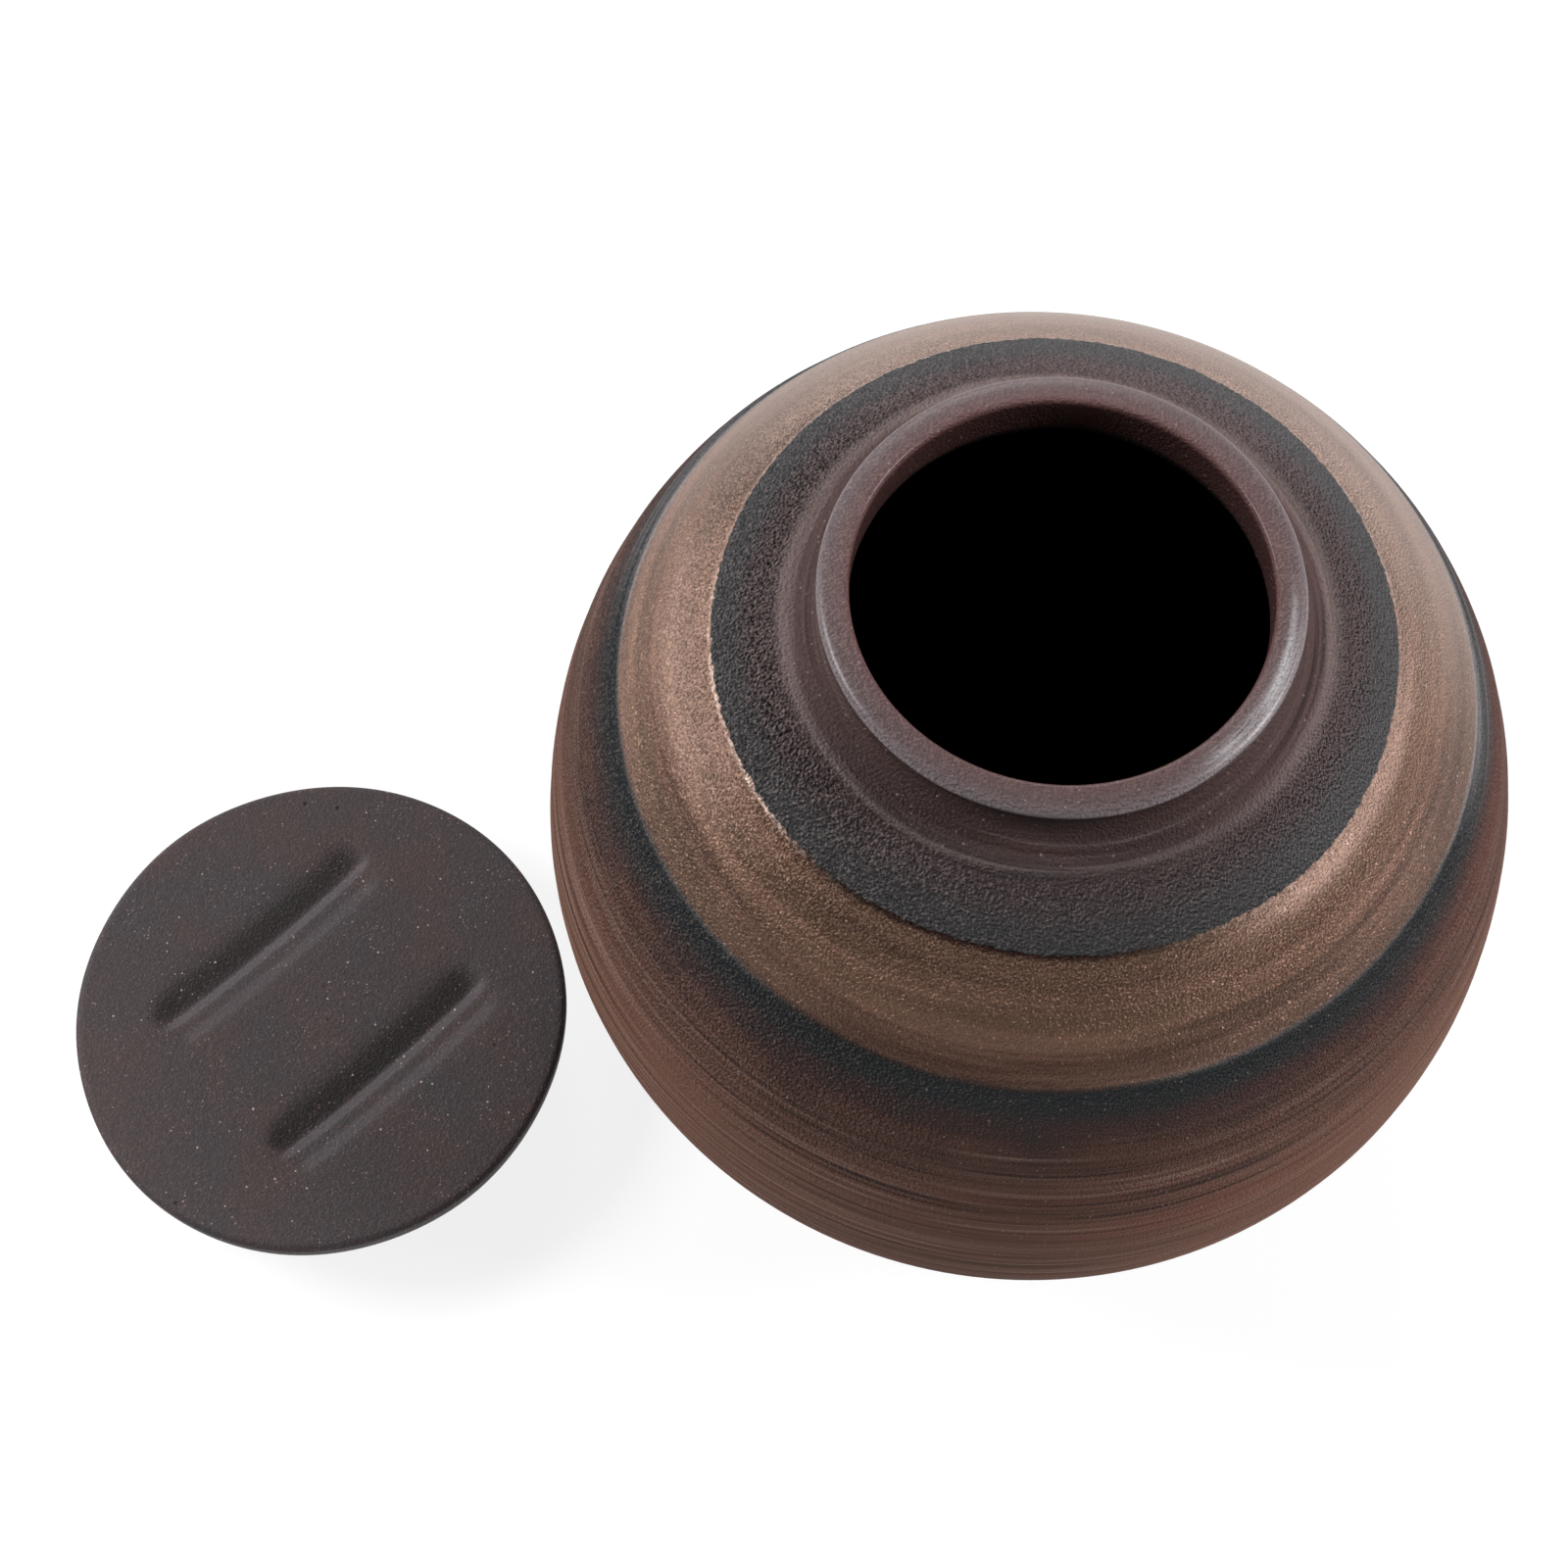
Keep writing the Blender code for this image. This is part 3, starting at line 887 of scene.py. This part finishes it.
def jar_zones():
    """A bag of wires that say where on the jar a point lies, and its noises."""
    start, spot = new_material("thrown_stoneware", jar)
    on = SimpleNamespace(start=start, spot=spot)
    on.travel, on.below_top, on.below_low = (
        start.add("Attribute", output=2, attribute_name=name)
        for name in ("travel", "below_top", "below_low"))
    right, far = (start.add("SeparateXYZ", {0: spot}, axis) for axis in (0, 1))
    radius = start.math("SQRT", right * right + far * far + AXIS_GUARD)
    on.lee = (math.cos(FRONT_BEARING) * right + math.sin(FRONT_BEARING) * far) / radius
    on.east = right / radius
    on.brush, wheel = (
        start.add("CombineXYZ", {0: right * share, 1: far * share, 2: on.travel})
        for share in (BRUSH_SHARE, WHEEL_SHARE))

    on.grain = mottle(spot, LEATHER_SIZE)
    on.soft = mottle(spot, CLOUD_SIZE, 3.0)
    on.broad = mottle(on.brush, STREAK_SIZE)
    on.thin = mottle(wheel, LINE_SIZE, 3.0, 0.6)

    on.edge_top = on.below_top + 0.8 * mottle(spot, CRUMBLE_SIZE)
    on.edge_low = on.below_low + 0.4 + 0.8 * mottle(spot, THIN_SIZE)
    on.edge_low = on.edge_low + 0.6 * mottle(on.brush, BRUSHED_SIZE)
    on.under_top = on.edge_top.step(*SLIP_EDGE)
    on.under_low = on.edge_low.step(*RUN_OUT_EDGE)
    on.bronze = on.under_top * (1 - on.under_low)
    on.rough = on.travel.step(*ROUGH_START) * (1 - on.under_top)
    on.rough = on.rough * (1 - 0.4 * on.below_top.step(*SMOOTHER_RIM))
    on.low = on.under_low * on.below_low.fade(*LOW_ROUGH_END)
    on.thrown = on.below_low.step(*THROWN_START)
    on.cove = on.travel.within(*COVE_ZONE)
    on.lip = on.travel.within(*LIP_ZONE)
    on.ring = on.travel.within(*RING_ZONE)
    on.line = on.edge_top.fade(*EDGE_LINE)
    # Windows for painted shade in front, painted light at the sides and the painted highlight on the
    # lip's right
    on.shade = on.lee.step(*FRONT_SHADE)
    on.side = on.lee.fade(*FRONT_FADE)
    on.bead = on.lip * on.east.step(*LIP_HIGHLIGHT_RIGHT) * on.lee.within(*LIP_HIGHLIGHT_SIDES)
    return on


jar_on = jar_zones()
print("zones:", ", ".join(sorted(vars(jar_on))))

# %% [markdown]
# ## Lip, neck and charcoal
# The rolled lip is rubbed smooth, with a painted highlight along its outer edge. The pale streaks
# on its right are a painted highlight too: the lip's stops slide inwards there and a painted sheen
# lies over them. The pale streaks on its right are painted as a polished bead with a sheen over
# it, though part of them may be a reflection. The neck's fine lines from the wheel and the ring
# where a finger ended its cove are too faint for relief alone to show, so they are painted shade
# and light. The ring is painted darker in front and paler at the sides, and neck and shoulder are
# painted lighter at the sides.

# %% The upper clay
THROWN_SHADE = srgb(44, 29, 25)
CONTRAST = 4.0
NECK_START = (6.5, 8.5)
NECK_DRIFT = (7.0, 12.0)
SHOULDER_START = (12.0, 17.0)
LIP_SHEEN_SPAN = (1.0, 2.8, 3.8, 5.4)
LIP_SHEEN_SIZE = 0.7


def thrown_lines(on, colour, zone, pale, share):
    """Dark lines of the wheel within a zone and pale ones of that share: painted shade and light of its
    rings.
    """
    drawn = CONTRAST * zone * on.thin
    colour = (-1.0 * drawn).step(0.0, 1.0).blend(colour, THROWN_SHADE)
    return (share * drawn.step(0.0, 1.0)).blend(colour, pale)


def upper_clay(on):
    drift = on.travel.step(*NECK_DRIFT) * (2.0 * on.soft + 1.2 * on.broad)
    # Painted highlight: on the lip's right its stops, the pale outer one too, slide inwards
    slide = on.bead * (1.3 + 4.0 * on.thin + 0.8 * on.soft)
    colour = coat(on.travel + slide + drift, UPPER_COAT)
    # A painted sheen in streaks over the lip's right
    streaks = 0.4 + 2.6 * on.thin + 1.4 * mottle(on.brush, LIP_SHEEN_SIZE)
    lip_sheen = on.bead * on.travel.within(*LIP_SHEEN_SPAN) * streaks
    colour = lip_sheen.step(0.0, 0.9).blend(colour, SHEEN)

    under_lip = on.travel.step(*NECK_START)
    # Painted light: the sides brighter than the front, most on the shoulder and to the right
    lit = 0.24 + 0.2 * under_lip + on.travel.step(*SHOULDER_START) * (0.55 + 0.25 * on.east)
    # Painted shade on the finger's ring in front and painted light on it at the sides
    ring_light_and_shade = on.ring * (0.54 * on.side - 0.34)
    colour = (0.86 - 0.04 * under_lip + on.side * lit + ring_light_and_shade).bright(colour)
    colour = thrown_lines(on, colour, on.cove, GRAIN_HIGHLIGHT, 0.3)
    return (0.3 * on.ring * on.side).blend(colour, GRAIN_HIGHLIGHT)


jar_upper = upper_clay(jar_on)
print("upper clay: lines in the neck from", COVE_ZONE[0], "to", round(COVE_ZONE[-1], 1), "mm")

# %% [markdown]
# ## The wall below the bronze
# Under the bronze the bare clay goes from charcoal through dark red to a warm brown, with no
# edge, so its stops are moved by broad noise. Iron fired red in patches, most on the right. The
# wheel's lines run down to the foot as painted shade and light, and the wall is painted darker in
# front.

# %% The lower clay
THROWN_LIGHT = srgb(146, 120, 108)
FIRED_RED = srgb(112, 66, 56)
WASH_START = (3.0, 12.0)
RED_START = (4.0, 12.0)
RED_RIGHT_END = (14.0, 34.0)
RED_SIZE = 7.0


def lower_clay(on):
    wash = on.below_low.step(*WASH_START) * (16.0 * on.soft + 10.0 * on.broad)
    colour = coat(on.below_low + wash, LOWER_COAT)
    # Painted shade: the wall darker towards the front
    colour = (1.02 - 0.17 * on.lee.step(0.8, 1.0)).bright(colour)
    right = 0.3 * on.east * on.below_low.fade(*RED_RIGHT_END)
    patches = (0.1 + right + 2.0 * mottle(on.brush, RED_SIZE)).step(0.0, 0.6)
    colour = (0.6 * on.below_low.step(*RED_START) * patches).blend(colour, FIRED_RED)
    return thrown_lines(on, colour, on.thrown, THROWN_LIGHT, 0.7)


jar_lower = lower_clay(jar_on)
print("lower clay: lines from", THROWN_START[0], "mm under the bronze")

# %% [markdown]
# ## The bronze slip
# The slip was brushed on as the pot turned, so it is streaked between a dark and a warm bronze,
# with greener patches. It is palest on the far side, glows at both sides and is dark in front, and
# its upper edge is lit on crumbs of slip along the cliff and shadowed under it in front. Gloss gives
# part of this, and the rest is painted: a painted reflection behind, painted highlights at the
# sides and on the crumbs, and painted shade and shadow in front, so it stays in place when the pot
# is turned.

# %% The bronze
BRONZE_DARK = srgb(78, 55, 45)
BRONZE_WARM = srgb(142, 108, 92)
BRONZE_GREEN = srgb(104, 84, 64)
# Painted: the reflection behind, the highlight of glow and glint, and the highlight on the edge
BRONZE_REFLECTION = srgb(204, 182, 172)
BRONZE_HIGHLIGHT = srgb(200, 166, 150)
BRONZE_EDGE_HIGHLIGHT = srgb(240, 214, 200)
BRONZE_SHADE = srgb(44, 28, 24)
GLOW_SIDES = (-0.3, 0.1, 0.5, 0.85)
GLINT_SIDES = (-0.45, 0.1, 0.45, 0.85)
GLINT_WIDTH = (-0.2, 1.2, 1.8, 5.0)
GLOW_END = (3.0, 9.0)
TOP_DARK_END = (3.0, 13.0)
LOW_DARK_START = (9.0, 17.0)
GREEN_SIZE = 6.0
CRUMB_SIZE = 1.8


def bronze_painted_light(on, colour):
    """Painted reflection behind, painted highlights at the sides and painted shade in front."""
    colour = (0.45 * (-1.0 * on.lee).step(-0.1, 0.9)).blend(colour, BRONZE_REFLECTION)
    beside_charcoal = (on.below_top + 4.0 * on.east).fade(*GLOW_END)
    glow = 0.4 * beside_charcoal * on.lee.within(*GLOW_SIDES)
    colour = glow.blend(colour, BRONZE_HIGHLIGHT)
    # A painted glint along the top edge on the right
    glint = on.below_top.within(*GLINT_WIDTH) * on.east.step(0.1, 0.6)
    glint = glint * (1.1 + 2.0 * on.broad) * on.lee.within(*GLINT_SIDES)
    colour = (0.7 * glint).blend(colour, BRONZE_HIGHLIGHT)
    # Painted shade in front and on the low part at the sides; the glint brightens a little more
    front = (0.28 + 0.2 * on.below_top.fade(*TOP_DARK_END)) * on.lee.step(0.5, 1.0)
    low_side_shade = (on.lee + 0.35 * on.east).step(-0.1, 0.3) - on.lee.step(0.6, 1.0)
    low_side_shade = on.below_top.step(*LOW_DARK_START) * low_side_shade
    return (0.98 - front - 0.4 * low_side_shade + 0.12 * glint).bright(colour)


def bronze_slip(on):
    streaks = (0.55 + 1.8 * on.broad + 0.7 * on.thin).step(0.0, 1.0)
    colour = streaks.blend(BRONZE_DARK, BRONZE_WARM)
    green = 0.8 * (0.25 + 2.0 * mottle(on.brush, GREEN_SIZE)).step(0.0, 1.0)
    colour = bronze_painted_light(on, green.blend(colour, BRONZE_GREEN))
    crumbs = (0.5 + 2.2 * mottle(on.spot, CRUMB_SIZE, 3.0)).step(0.0, 0.7)
    crumbs = crumbs * (0.6 + 3.0 * on.grain).step(0.0, 0.9)
    # Painted highlight on the edge's crumbs where the left light catches them, painted shadow under the
    # cliff in front
    west = (-1.0 * on.east).step(0.2, 0.7)
    caught = (1 - on.shade) * (0.3 + 0.7 * west * on.lee.step(-0.1, 0.4))
    colour = (on.line * crumbs * caught).blend(colour, BRONZE_EDGE_HIGHLIGHT)
    return (on.line * on.shade).blend(colour, BRONZE_SHADE)


jar_bronze = bronze_slip(jar_on)
print("bronze: from", round(BRONZE_TOP, 1), "to", round(BRONZE_LOW, 1), "mm of travel")

# %% [markdown]
# ## Where the bronze runs out
# The three coats are laid over each other by their edges. Along the bronze's low edge a painted
# sheen makes a pale grey line, a painted shade line in front, and towards the far side a painted
# glare lies under it. These lie across two coats, so they are mixed in last.

# %% Coats and the low edge
FRONT_LINE = (0.84, 0.97)
GLARE_WIDTH = (-1.5, 0.5, 4.0, 9.0)


def joined_coats(on, upper, bronze, lower):
    colour = on.under_low.blend(on.under_top.blend(upper, bronze), lower)
    # A painted sheen along the low edge, weaker in front, where a painted shade line takes its place
    run_out = on.start.math("ABSOLUTE", on.edge_low).fade(0.1, 0.9)
    front = on.lee.step(*FRONT_LINE)
    edge_sheen = 0.5 * run_out * (1 - 0.75 * on.lee.step(-0.1, 0.35)) * (1 - front)
    colour = edge_sheen.blend(colour, SHEEN)
    # A painted glare under the edge towards the far side
    glare = on.below_low.within(*GLARE_WIDTH) * on.lee.fade(-0.25, 0.2)
    glare = glare * (0.5 - 0.3 * on.below_low.step(0.8, 3.0) + 1.2 * on.thin)
    colour = glare.blend(colour, SHEEN)
    return (0.6 * run_out * front).blend(colour, BRONZE_SHADE)


jar_coats = joined_coats(jar_on, jar_upper, jar_bronze, jar_lower)
print("coats joined:", len(jar.data.materials[0].node_tree.nodes), "nodes so far")

# %% [markdown]
# ## Grain, pits and gloss
# The charcoal is as coarse as sandpaper, the bronze finer, and the lower wall almost smooth. Each
# grain has painted shade on one flank and painted light on the other, strongest at the sides,
# with a bump of about its size. Pits are painted dark as shade and sparks are painted glints. The
# clay is matt, only the bronze is metallic, and fingers have rubbed a thin gloss on the lip.

# %% Grain, pits and the jar's surface
COARSE_GRAIN = 0.45
FINE_GRAIN = 0.34
BRONZE_TONE = (0.0, 14.0)
PIT_CELLS = (0.8, 0.35, 0.2)
SPARK_CELLS = (0.9, 0.25, 0.2)
MATT = 0.15
COAT_BLUR = 0.32


def gritty(on, colour):
    """Painted shade and light on the grains' flanks, painted shade in pits and painted glints, over a
    colour.
    """
    coarse, fine = (flanks(on.spot, size, LIGHT_WAY) for size in (COARSE_GRAIN, FINE_GRAIN))
    flank_light = coarse + on.bronze * (fine - coarse)
    tone = (on.travel - BRONZE_TOP).step(*BRONZE_TONE)
    grit = 1.2 * on.rough + 0.3 * on.lip + 0.4 * on.low + 0.15
    grit = grit + on.bronze * (0.75 - 0.5 * tone) * (1 - on.line)
    # The grain's painted light and shade are stronger at the sides than in front
    grit = grit * (0.5 + 0.5 * on.start.math("ABSOLUTE", on.east))
    dark = on.bronze.blend(PIT_SHADE, BRONZE_SHADE)
    colour = (0.75 * grit * (-1.0 * flank_light).step(0.0, 0.16)).blend(colour, dark)
    pale = on.bronze.blend(GRAIN_HIGHLIGHT, BRONZE_HIGHLIGHT)
    # Painted light on pale flanks and glints, weaker on the bronze's front
    shown = (0.5 + 0.1 * on.bronze) * (1 - 0.6 * on.bronze * on.shade)
    colour = (shown * grit * flank_light.step(0.02, 0.18)).blend(colour, pale)
    pits = grains(on.spot, *PIT_CELLS) * (on.rough + 0.3 * on.lip)
    colour = (0.7 * pits).blend(colour, PIT_SHADE)
    return (grains(on.spot, *SPARK_CELLS) * shown).blend(colour, pale), tone


def finish_jar(on, coats):
    colour, tone = gritty(on, coats)
    leather = 2.2 * on.rough + 0.35 * on.bronze * (1.1 - tone) + 1.0 * on.low + 0.3 * on.lip + 0.4
    relief = leather * on.grain + on.thrown * 0.2 * on.thin
    roughness = 0.52 - 0.15 * on.bronze + 0.36 * on.under_low + 0.3 * on.grain
    rubbed = 0.5 * on.lip * (1 - 0.6 * on.bead * on.travel.step(*LIP_SHEEN_SPAN[2:]))
    finish_material(on.start, relief, Base_Color=colour, Roughness=roughness,
                    Metallic=0.85 * on.bronze, Specular_IOR_Level=MATT,
                    Coat_Weight=rubbed, Coat_Roughness=COAT_BLUR)


finish_jar(jar_on, jar_coats)
print("nodes in the jar's material:", len(jar.data.materials[0].node_tree.nodes))

# %% [markdown]
# ## The lid's clay
# The lid is the same clay without slip, with redder and greyer clouds, crowds of pale grog and a
# few pinholes painted dark as the shade in them. The grooves' steep walls get painted shade and
# their easy ones painted light, by the attribute rise, because they are too shallow for soft light
# to tell them apart. The lid is painted darker towards the lower right, and its grains have painted
# shade and light on their flanks.

# %% The lid's surface
# Way and strength of the painted shade that darkens the lid towards the lower right
LID_SHADE_WAY = (0.69, -0.72, 0.0)
LID_MIDDLE = sum(part * place / MM for part, place in zip(LID_SHADE_WAY, lid_axis))
LID_SHADE_FADE = 0.0045
LID_GREY = srgb(54, 51, 55)
LID_RED = srgb(65, 52, 52)
STEEP_WALL_SHADE = srgb(34, 32, 33)
EASY_WALL_LIGHT = srgb(90, 86, 90)
WARM_CLAY = srgb(82, 67, 65)
LID_FLANK_SHADE = srgb(36, 31, 31)
LID_FLANK_LIGHT = srgb(150, 132, 126)
PALE_GROG = srgb(156, 130, 124)
RED_GROG = srgb(128, 96, 92)
WHITE_GROG = srgb(190, 174, 166)
PINHOLE_SHADE = srgb(16, 12, 12)
LID_MATT = 0.3
LID_CLOUD = 14.0
CROWD_SIZE = 11.0
LID_LEATHER = 0.5
FLANK_SIZE = 0.4
BUMPY_SIZE = 2.5


def dress_lid():
    start, spot = new_material("pressed_stoneware", lid)
    rise = start.add("Attribute", output=2, attribute_name="rise")
    cloud = (0.5 + 2.2 * mottle(spot, LID_CLOUD, 3.0)).step(0.0, 1.0)
    crowd = mottle(spot, CROWD_SIZE)
    grain = mottle(spot, LID_LEATHER, 2.0, 0.6)
    colour = cloud.blend(LID_GREY, LID_RED)
    # Painted shade on the grooves' steep walls, painted light on their easy ones
    colour = (0.85 * (-1.0 * rise).step(-0.02, 0.28)).blend(colour, STEEP_WALL_SHADE)
    colour = (0.55 * rise.step(0.04, 0.30)).blend(colour, EASY_WALL_LIGHT)
    # Painted shade: darker towards the lower right
    across = start.add("VectorMath", {0: spot, 1: LID_SHADE_WAY}, 1, operation="DOT_PRODUCT")
    colour = (1.0 - LID_SHADE_FADE * (across - LID_MIDDLE)).bright(colour)
    warm = 0.35 * (0.2 + 4.0 * mottle(spot, LID_LEATHER, 3.0)).step(0.0, 1.0)
    colour = warm.blend(colour, WARM_CLAY)
    # Painted light and shade on the grains' flanks
    flank_light = flanks(spot, FLANK_SIZE, LIGHT_WAY)
    colour = (0.25 * (-1.0 * flank_light).step(0.0, 0.2)).blend(colour, LID_FLANK_SHADE)
    colour = (0.12 * flank_light.step(0.0, 0.2)).blend(colour, LID_FLANK_LIGHT)
    # Grog in three kinds, then pinholes painted dark as the shade in them
    for size, share, reach, strength, shown in (
        (0.8, 0.35 + 2.5 * crowd, 0.20, 0.60, PALE_GROG),
        (0.6, 0.28 + 2.5 * crowd, 0.25, 0.50, RED_GROG),
        (1.7, 0.35 + crowd, 0.11, 0.85, WHITE_GROG),
        (6.0, 0.30, 0.06, 0.80, PINHOLE_SHADE),
    ):
        dots = grains(spot, size, share, reach)
        colour = (strength * dots).blend(colour, shown)
    relief = 0.18 * grain - 0.15 * dots + 0.05 * mottle(spot, BUMPY_SIZE)
    finish_material(start, relief, Base_Color=colour, Roughness=0.62 + 0.3 * grain,
                    Specular_IOR_Level=LID_MATT)


dress_lid()
print("nodes in the lid's material:", len(lid.data.materials[0].node_tree.nodes))

# %% [markdown]
# ## The seal's silicone
# Moulded silicone is milky white with a faint bloom. It is seen only when the lid is lifted, so
# two near whites and a little unevenness in its gloss are enough.

# %% The seal's surface
MILKY = srgb(226, 226, 220)
MILKY_PALE = srgb(238, 238, 234)
BLOOM_SIZE = 3.0


def dress_seal():
    start, spot = new_material("milky_silicone", seal)
    bloom = mottle(spot, BLOOM_SIZE)
    colour = (0.5 + bloom).blend(MILKY, MILKY_PALE)
    finish_material(start, 0.02 * bloom, Base_Color=colour, Roughness=0.42 + 0.2 * bloom)


dress_seal()
print("materials:", ", ".join(piece.data.materials[0].name for piece in (jar, lid, seal)))

# %% [markdown]
# ## The studio
# The pots stand on a white sweep, a floor that curves up into a wall some metres away. Through
# the Light Path node it shows white to the camera and in reflections, but lights the pots only as
# white card would, and keeps their soft shadow.

# %% The white sweep
SWEEP_LINE = np.array([
    (0.0, -0.5), (3000.0, -0.5), (6000.0, -0.5), (7200.0, 500.0), (7600.0, 3000.0)])
SWEEP_STEPS = 48
SWEEP_PARTS = 8
SEEN_GLOW = 0.84
SEEN_WHITE = 0.22
LIT_WHITE = 0.80
WORLD_GREY = 0.10


def grey(level):
    """An opaque grey of that linear level."""
    return (level, level, level, 1.0)


sweep_line = smooth_line(SWEEP_LINE, SWEEP_PARTS)
sweep = turned("studio_sweep", sweep_line, travelled(sweep_line), SWEEP_STEPS, Vector((0, 0, 0)))
paper = new_material("white_sweep", sweep)[0]
rays = [paper.add("LightPath", output=name)
        for name in ("Is Camera Ray", "Is Glossy Ray", "Is Transmission Ray")]
seen = paper.math("MAXIMUM", paper.math("MAXIMUM", rays[0], rays[1]), rays[2])
lit = paper.add("BsdfDiffuse", {"Color": grey(LIT_WHITE)})
white = paper.add("AddShader", {
    0: paper.add("Emission", {"Strength": SEEN_GLOW}),
    1: paper.add("BsdfDiffuse", {"Color": grey(SEEN_WHITE)})})
paper.add("OutputMaterial", {"Surface": paper.add("MixShader", {0: seen, 1: lit, 2: white})})
print("sweep: a wall", round(sweep_line[-1, 0] * MM, 1), "m away")

# %% [markdown]
# ## Light
# A softbox at each side gives the bronze its bright sides and leaves its front dark, and a weaker
# one behind draws the far rim. Each is placed by its direction and distance from the pots, as a
# photographer would say it. The world adds a dim even grey.

# %% Softboxes and world
LOOKED_AT = Vector((-0.03, 0.0, 0.08))


def softbox(name, azimuth, elevation, distance, size, power):
    """A square area lamp, placed by its direction from the pots and turned to them."""
    bpy.ops.object.light_add(type="AREA")
    lamp = bpy.context.object
    lamp.name = name
    lamp.data.size = size
    lamp.data.energy = power
    around, up = math.radians(azimuth), math.radians(elevation)
    way = Vector((math.cos(up) * math.cos(around), math.cos(up) * math.sin(around), math.sin(up)))
    lamp.location = LOOKED_AT + distance * way
    lamp.rotation_euler = way.to_track_quat("Z", "Y").to_euler()


softbox("key_softbox", 170, 39, 1.1, 0.4, 11.0)
softbox("fill_softbox", -6, 37, 1.1, 0.35, 10.5)
softbox("back_softbox", 90, 42, 1.2, 0.5, 4.5)
world = bpy.context.scene.world or bpy.data.worlds.new("studio")
bpy.context.scene.world = world
world.use_nodes = True
world.node_tree.nodes.clear()
air = Wire(world.node_tree)
glow = air.add("Background", {"Color": grey(WORLD_GREY), "Strength": 1.0})
air.add("OutputWorld", {"Surface": glow})

# %% [markdown]
# ## The camera
# The photographer stood close and looked steeply down, so the mouth is nearly a circle. Place and
# lens come from the ellipses of the mouth, the bands and the outline.

# %% Place the camera
CAMERA_PLACE = (-0.03906, -0.1914, 0.51346)
CAMERA_TILT = 23.35
CAMERA_LENS = 68.625
CAMERA_REACH = 200

bpy.ops.object.camera_add(location=CAMERA_PLACE, rotation=(math.radians(CAMERA_TILT), 0, 0))
camera = bpy.context.object
camera.data.lens = CAMERA_LENS
camera.data.clip_end = CAMERA_REACH
scene = bpy.context.scene
scene.camera = camera
scene.view_settings.view_transform = "Standard"
print("camera:", camera.location[:], "lens", camera.data.lens)

# %% [markdown]
# ## Sizes
# The dressed model has to stay inside the measured one.
